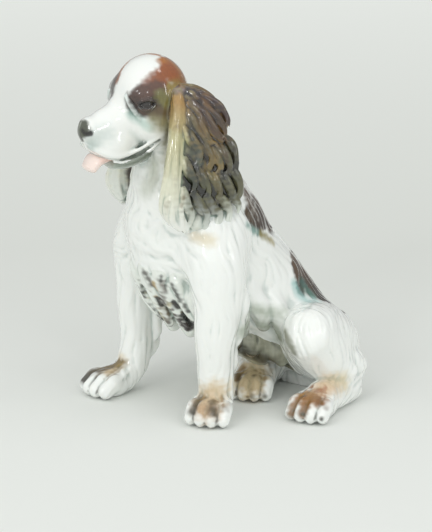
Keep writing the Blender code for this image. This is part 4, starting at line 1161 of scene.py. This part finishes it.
# Head: a hollow casting luted on the neck, with the solid pressed jaw and tongue luted in the open mouth.
# The markings, the eyes, the nose and the line of the lips are painted and sprayed, and the glaze over them
# is thin, so that they stay sharp.
HEAD_STROKES = [
    *stroke("#A26212", "#8E520F", 10, (13, -62, 227), (9, -52, 227), (2, -46, 222), (-8, -46, 222),
            soft=0.5),
    *stroke("#AE6816", "#9C5A12", 6, (9, -64, 231), (6, -57, 232), soft=0.5),
    *stroke("#A0521C", "#8A441A", 9, (-17, -62, 224), (-13, -52, 225), soft=0.5),
    *stroke("#8A441A", "#6A5020", 14, (0, -44, 214), (0, -38, 204), (0, -38, 194), soft=0.6),
    *stroke("#8E4E22", "#B8702C", 5, (-8, -91, 220), (-10, -88, 224), (-11, -84, 228),
            soft=0.5, strength=0.95),
    *stroke("#B8702C", "#BC7430", 3.2, (-11, -84, 228), (-10, -80, 231), (-8.5, -76, 233.5),
            (-5, -71, 235.5), (2, -65, 236), soft=0.5, strength=0.95),
    *stroke("#9A5420", "#8F6A2C", 7, (16, -65, 225.5), (17.5, -60, 221.5), (17.5, -56, 217),
            (16, -50, 211), mirrored=True, soft=0.4),
    *stroke("#8F7030", "#7E7038", 6, (21, -61, 217), (24, -59, 212), (25, -56, 206),
            mirrored=True, soft=0.5),
    *stroke("#4E4944", "#55504A", 4.6, (-8, -95, 209), (-10, -91, 216), (-11, -88, 221),
            soft=0.6, strength=0.9),
    *stroke("#8F7A3A", "#746838", 9, (22, -69, 216), (26, -68, 207), (25, -71, 196),
            mirrored=True, soft=0.7),
    *stroke("#8A4A22", "#96501C", 7, (17, -76, 220), (16, -70, 224), (14, -64, 226),
            mirrored=True, soft=0.5),
    *stroke("#4A352E", "#5E3E30", 7.5, (15, -89, 210), (17, -83, 214), (18.5, -77, 216),
            mirrored=True, soft=0.4),
    *stroke("#3A2822", "#33241F", 7, (16, -89, 205), (19, -83, 205), (22, -76, 207),
            mirrored=True, soft=0.5),
    # A painted soft highlight: paler pinkish brown on the brow over the eye
    *stroke("#9A7062", "#8A5A44", 3.4, (14.5, -82, 220), (15, -76, 223.5),
            mirrored=True, soft=0.8, strength=0.7),
    *stroke("#8FB0A6", "#B8CEC4", 4.5, (13, -91, 200), (17, -86, 195.5), (20, -81, 192),
            mirrored=True, soft=0.95, strength=0.7),
    *stroke("#DDE6E2", "#E9EFEC", 1.6, (9.4, -93.6, 212), (12, -92, 207), (15, -89, 201),
            mirrored=True, soft=0.5),
    *stroke("#5C6A48", "#8A7A48", 5, (22, -79, 199), (25, -74, 198),
            mirrored=True, soft=0.9, strength=0.75),
    *stroke("#A9A48A", "#C2C0A8", 5, (22, -78, 192), (24, -73, 189), mirrored=True, soft=0.9, strength=0.6),
    *stroke("#6E6A3A", "#857E48", 5, (21.9, -75, 212.6), (22.9, -71.5, 208), (23.5, -70, 203),
            mirrored=True, soft=0.7),
    *stroke("#4A3424", "#6A5A3A", 5, (19.5, -85, 203), (21.4, -80, 202.5), (22.5, -75, 201),
            (23.6, -70.5, 200), mirrored=True, soft=0.6),
    *stroke("#8A8460", "#A09C80", 4.5, (20.8, -80, 197.5), (22.9, -73, 195.2), (24, -70, 190),
            mirrored=True, soft=0.9, strength=0.7),
    # Painted shade behind the corner of the jaw
    *stroke("#6E6A4A", "#8E8A68", 4, (22.5, -69.5, 188), (20.5, -71, 180),
            mirrored=True, soft=0.9, strength=0.8),
    *stroke("#1E1714", "#1E1714", 3.4, (18.5, -86, 206.6), (20.5, -81, 206.6),
            mirrored=True, soft=0.3, ragged=0.1),
    *stroke("#C9CBC6", "#B4B4AC", 0.6, (17.4, -88, 205.6), (18.8, -86.6, 204.0), (20.4, -84, 203.2),
            (21.2, -81.4, 203.6), (21.8, -79, 205.6), mirrored=True, soft=0.5, ragged=0.0),
    *stroke("#A9B8B2", "#BCC9C4", 8, (5, -114, 185), (8, -108, 188), soft=0.9, strength=0.6, mirrored=True),
    *stroke("#A5B5AE", "#BCC9C4", 4, (5, -119, 180), (8, -114, 182), soft=0.9, strength=0.6, mirrored=True),
    *stroke("#565A4A", "#4A4E40", 6.2, (-4.5, -119, 191.5), (0.5, -119, 191.5), soft=0.3, ragged=0.15),
    *stroke("#4A4E40", "#3C3E34", 3.4, (-2, -121, 187), (-2, -120.5, 184.5), soft=0.3, ragged=0.1),
    # A painted highlight: a pale line down the middle of the nose
    *stroke("#C8CCC4", "#B8BDB4", 1.3, (-2, -120, 196), (-2, -122, 191), (-2, -122, 187),
            soft=0.8, ragged=0.1, strength=0.6),
    *stroke("#171711", "#171711", 2.2, (2.0, -121.6, 191), (4.4, -120.0, 188.6), (6.4, -117.0, 189.4),
            mirrored=True, soft=0.5, ragged=0.1),
    *stroke("#5C665E", "#4A534C", 1.4, (9.4, -104, 172), (11, -98, 171.4), (12.4, -92, 172.2),
            (14.6, -85, 174.8), (18, -79, 179.4), (20.6, -75, 183), mirrored=True, soft=0.7, ragged=0.1),
]
# Sprayed in fine coats and glazed thin: sharper reflections and less ripple than on the body
face_glaze = porcelain("porcelain_airbrushed_under_clear_glaze", 0.12, 0.15)
cast("head", 0.6, HEAD_STROKES, face_glaze, pooled_and_shaded=0.7)
JAW_STROKES = [
    *stroke("#9EA79C", "#838C80", 9, (8, -102, 168), (10, -92, 170), (14, -80, 174),
            mirrored=True, soft=0.8),
    *stroke("#1E211D", "#1E211D", 2.6, (2, -106, 173.5), (7, -99, 172.8), (10, -91, 173), (13, -84, 175.6),
            (17, -78, 180), mirrored=True, soft=0.6, ragged=0.2),
]
cast("lower_jaw", 0.6, JAW_STROKES, face_glaze, "#C6CEC6", 0.9)
# Pink at the root and paler to the tip: the tongue's own colour, with a painted highlight on the tip
TONGUE_STROKES = stroke("#D58E7A", "#F7E4DC", 12, (-2, -98, 173), (-2, -105, 173), (-2, -112, 169),
                        soft=0.2)
# A thin glaze with hardly a ripple, so that it looks wet
tongue_glaze = porcelain("porcelain_pink_under_clear_glaze", 0.1, 0.1)
cast("tongue", 0.6, TONGUE_STROKES, tongue_glaze, "#EFC7BA", 0.5, "#C07A6A")

# Ears: solid pressed flaps with a rolled front edge and hanging locks, luted to the side of the skull. Each
# lock is brushed from its root to its tip with a pale line along its upper rim, and the roll fades to white.
EAR_STROKES = [
    *stroke("#6F6242", "#5C5A40", 60, (35, -50, 170), (35, -48, 168), soft=0.2),
    *stroke("#6A4A26", "#4B4632", 14, (30, -48, 206), (38, -46, 184), mirrored=True, soft=0.6),
    *stroke("#D3D8CC", "#EDF0EB", 11, (42, -78, 134), (42, -58, 130), (42, -36, 133),
            mirrored=True, soft=0.8),
    *stroke("#3A4434", "#41483C", 4.5, (34, -60, 198), (38, -63, 184), (42, -67, 168), (43, -68, 150),
            mirrored=True, soft=0.8),
]
# The colours at the root and at the tip of each lock, in the order of the locks
EAR_TINTS = [
    ("#33242A", "#43302A"), ("#2C2022", "#54402C"), ("#3A2826", "#5E462C"), ("#4A3828", "#8F7640"),
    ("#7A6034", "#4E442C"), ("#2C3026", "#4E5549"), ("#3A3426", "#7E6A38"), ("#6E5A30", "#8A7644"),
    ("#5C4A2C", "#33332A"), ("#45412F", "#2A2B22"), ("#4E5546", "#2A2C24"), ("#262620", "#6A6A48"),
    ("#76683A", "#3B3828"), ("#26261F", "#4A4934"), ("#33332A", "#6B6B4E"), ("#6B705A", "#DDE2DA"),
    ("#262620", "#D0D6CE"), ("#33332A", "#D8DDD4"), ("#77775A", "#DDE2DA"), ("#4A4C3A", "#CDD3C8"),
    ("#D6D9CB", "#EDF0EB"), ("#BFC3B1", "#EBEEE9"),
]
# Brown rims on the locks near the root, olive ones below, and none on the white tips
BROWN_RIMS, OLIVE_RIMS = 9, 18
for n, ((radius, *path), (root, tip)) in enumerate(zip(EAR_LOCKS, EAR_TINTS)):
    path = on_ear(path)
    EAR_STROKES += stroke(root, tip, radius * 1.15, *path, mirrored=True, soft=0.4, ragged=0.3)
    rim = path + (0, 0.75 * radius, 0.45 * radius)
    if n < BROWN_RIMS:
        EAR_STROKES += stroke("#8E6E3C", "#AE9462", 1.2, *rim,
                              mirrored=True, soft=0.7, ragged=0.4, strength=0.8)
    elif n < OLIVE_RIMS:
        EAR_STROKES += stroke("#9A9A74", "#D2D2B8", 1.1, *rim,
                              mirrored=True, soft=0.7, ragged=0.5, strength=0.85)
roll = on_ear(EAR_ROLL)
EAR_STROKES += [
    # The top of the roll is lilac, a painted reflection, and turns brown below it
    *stroke("#B9A0A2", "#A07A5A", 5.4, *roll[:2], mirrored=True, soft=0.5, strength=0.9),
    *stroke("#A8844A", "#BDB486", 8, *roll[1:4], mirrored=True, soft=0.35, ragged=0.15),
    *stroke("#BDB88E", "#D8D8C2", 9.5, *roll[3:6], mirrored=True, soft=0.35, ragged=0.1),
    *stroke("#D8D8C2", "#F1F2EC", 11, *roll[5:], mirrored=True, soft=0.35, ragged=0.1),
    *stroke("#C9BC84", "#CFC69C", 2.2, roll[5] + (3, 2, 0), roll[6] + (3, 4, 2),
            mirrored=True, soft=0.9, strength=0.6),
    *stroke("#8FA08C", "#7A8A74", 1.8, roll[3] + (4, 4, 0), roll[5] + (4, 6, 0),
            mirrored=True, soft=0.9, strength=0.7),
]
# The thick glaze is full coat and almost mirror-smooth, and ripples most over the locks
ear_glaze = porcelain("porcelain_brown_under_thick_glaze", 0.05, 0.4, coat=1.0)
cast("ear_left", 0.6, EAR_STROKES, ear_glaze, "#A09C78", 1.0, "#4A4436")
moved = [(root, tip, radius, path + EAR_RIGHT_SHIFT, kept) for root, tip, radius, path, kept in EAR_STROKES]
roll = on_ear(EAR_ROLL, -1, EAR_RIGHT_SHIFT)
moved += stroke("#CDD0C6", "#E6E9E2", 9, *roll[3:], soft=0.5)
moved += stroke("#3E3028", "#33271F", 6, (-27, -60, 178), (-30, -64, 164), (-33, -66, 150),
                (-33, -64, 138), soft=0.5)
cast("ear_right", 0.6, moved, ear_glaze, "#A09C78", 1.0, "#4A4436")

# The setting: the figure stands on a wide flat sheet of white paper, in a white studio with tall windows,
# and a long lens looks at it from its left and a little above.
FOCAL_LENGTH = 152.0
SENSOR_WIDTH = 36.0
EYE_AT = np.array([1250.63, -743.81, 475.48])
LOOK_AT = np.array([-4.14, -19.37, 87.25])
camera = bpy.data.cameras.new("camera")
camera.lens = FOCAL_LENGTH
camera.sensor_width = SENSOR_WIDTH
eye = bpy.data.objects.new("camera", camera)
bpy.context.scene.collection.objects.link(eye)
bpy.context.scene.camera = eye
turned = Vector(EYE_AT - LOOK_AT).to_track_quat("Z", "Y")
eye.matrix_world = Matrix.LocRotScale(Vector((EYE_AT - ORIGIN) * MM), turned, None)

# Matte paper, without a sheen. The light and shade that such a sheet shows in a studio are painted into its
# grey: darkest a little behind the figure, and palest far behind. Its tones are set at shares of the way
# between two distances in metres behind the figure.
PAPER_HALF = 30
BEHIND = (-0.866, 0.5, 0)
NEAR_EDGE, FAR_EDGE = -0.5, 2.0
PAPER_LIGHT_AND_SHADE = ((0.0, "#EEF0ED"), (0.16, "#ECEEEB"), (0.36, "#E2E4E0"), (0.92, "#F7F9F6"))
floor_mesh = bpy.data.meshes.new("paper_sweep")
corners = [(x * PAPER_HALF, y * PAPER_HALF, 0) for x, y in ((-1, -1), (1, -1), (1, 1), (-1, 1))]
floor_mesh.from_pydata(corners, [], [(0, 1, 2, 3)])
floor = bpy.data.objects.new("paper_sweep", floor_mesh)
bpy.context.scene.collection.objects.link(floor)
paper = bpy.data.materials.new("matte_white_paper")
paper.use_nodes = True
tree = paper.node_tree
shader = tree.nodes["Principled BSDF"]
place = add(tree, "ShaderNodeTexCoord").outputs["Object"]
behind = add(tree, "ShaderNodeVectorMath", [(0, place)], operation="DOT_PRODUCT")
behind.inputs[1].default_value = BEHIND
shade = add(tree, "ShaderNodeMapRange", [("Value", behind.outputs["Value"])],
            **{"From Min": NEAR_EDGE, "From Max": FAR_EDGE})
ramp = add(tree, "ShaderNodeValToRGB", [("Fac", shade.outputs[0])])
stops = ramp.color_ramp.elements
for n, (share, tone) in enumerate(PAPER_LIGHT_AND_SHADE):
    stop = stops[n] if n < 2 else stops.new(share)
    stop.position = share
    stop.color = (*colour(tone), 1)
tree.links.new(ramp.outputs["Color"], shader.inputs["Base Color"])
shader.inputs["Roughness"].default_value = 0.9
shader.inputs["Specular IOR Level"].default_value = 0.1
floor_mesh.materials.append(paper)

# White studio walls: brightest overhead on the window side, darker behind the figure, even for the camera
BRIGHTEST = (0.5, -0.55, 0.67)
WALLS = "#FBFDFB"
world = bpy.data.worlds.new("studio")
bpy.context.scene.world = world
world.use_nodes = True
tree = world.node_tree
background = tree.nodes["Background"]
way = add(tree, "ShaderNodeTexCoord").outputs["Generated"]
ahead = add(tree, "ShaderNodeVectorMath", [(0, way)], operation="DOT_PRODUCT")
ahead.inputs[1].default_value = BRIGHTEST
level = add(tree, "ShaderNodeMapRange", [("Value", ahead.outputs["Value"])],
            **{"From Min": -0.3, "From Max": 1.0, "To Min": 0.42, "To Max": 1.14})
seen = add(tree, "ShaderNodeLightPath").outputs["Is Camera Ray"]
shown = add(tree, "ShaderNodeMix", [("Factor", seen), ("A", level.outputs[0])], B=0.8)
tree.links.new(shown.outputs[0], background.inputs["Strength"])
background.inputs["Color"].default_value = (*colour(WALLS), 1)

# The windows, which give the glaze its small bright reflections: place and size in metres, and watts
WINDOWS = (
    ("front_window", (1.05, -1.75, 1.2), (0.2, 0.36), 3.6),
    ("top_window", (0.6, 0.4, 1.9), (0.25, 0.25), 0.9),
    ("left_window", (0.3, -1.6, 1.5), (0.12, 0.4), 1.4),
    ("right_window", (1.7, -0.3, 1.3), (0.12, 0.4), 1.6),
    ("side_strip", (1.5, 0.5, 0.8), (0.06, 0.8), 1.3),
)
FIGURE_MIDDLE = Vector((0, 0, 0.12))
for name, at, size, power in WINDOWS:
    lamp = bpy.data.lights.new(name, "AREA")
    lamp.shape = "RECTANGLE"
    lamp.size, lamp.size_y = size
    lamp.energy = power
    holder = bpy.data.objects.new(name, lamp)
    turned = (Vector(at) - FIGURE_MIDDLE).to_track_quat("Z", "Y")
    holder.matrix_world = Matrix.LocRotScale(Vector(at), turned, None)
    bpy.context.scene.collection.objects.link(holder)

bpy.context.scene.view_settings.view_transform = "Standard"
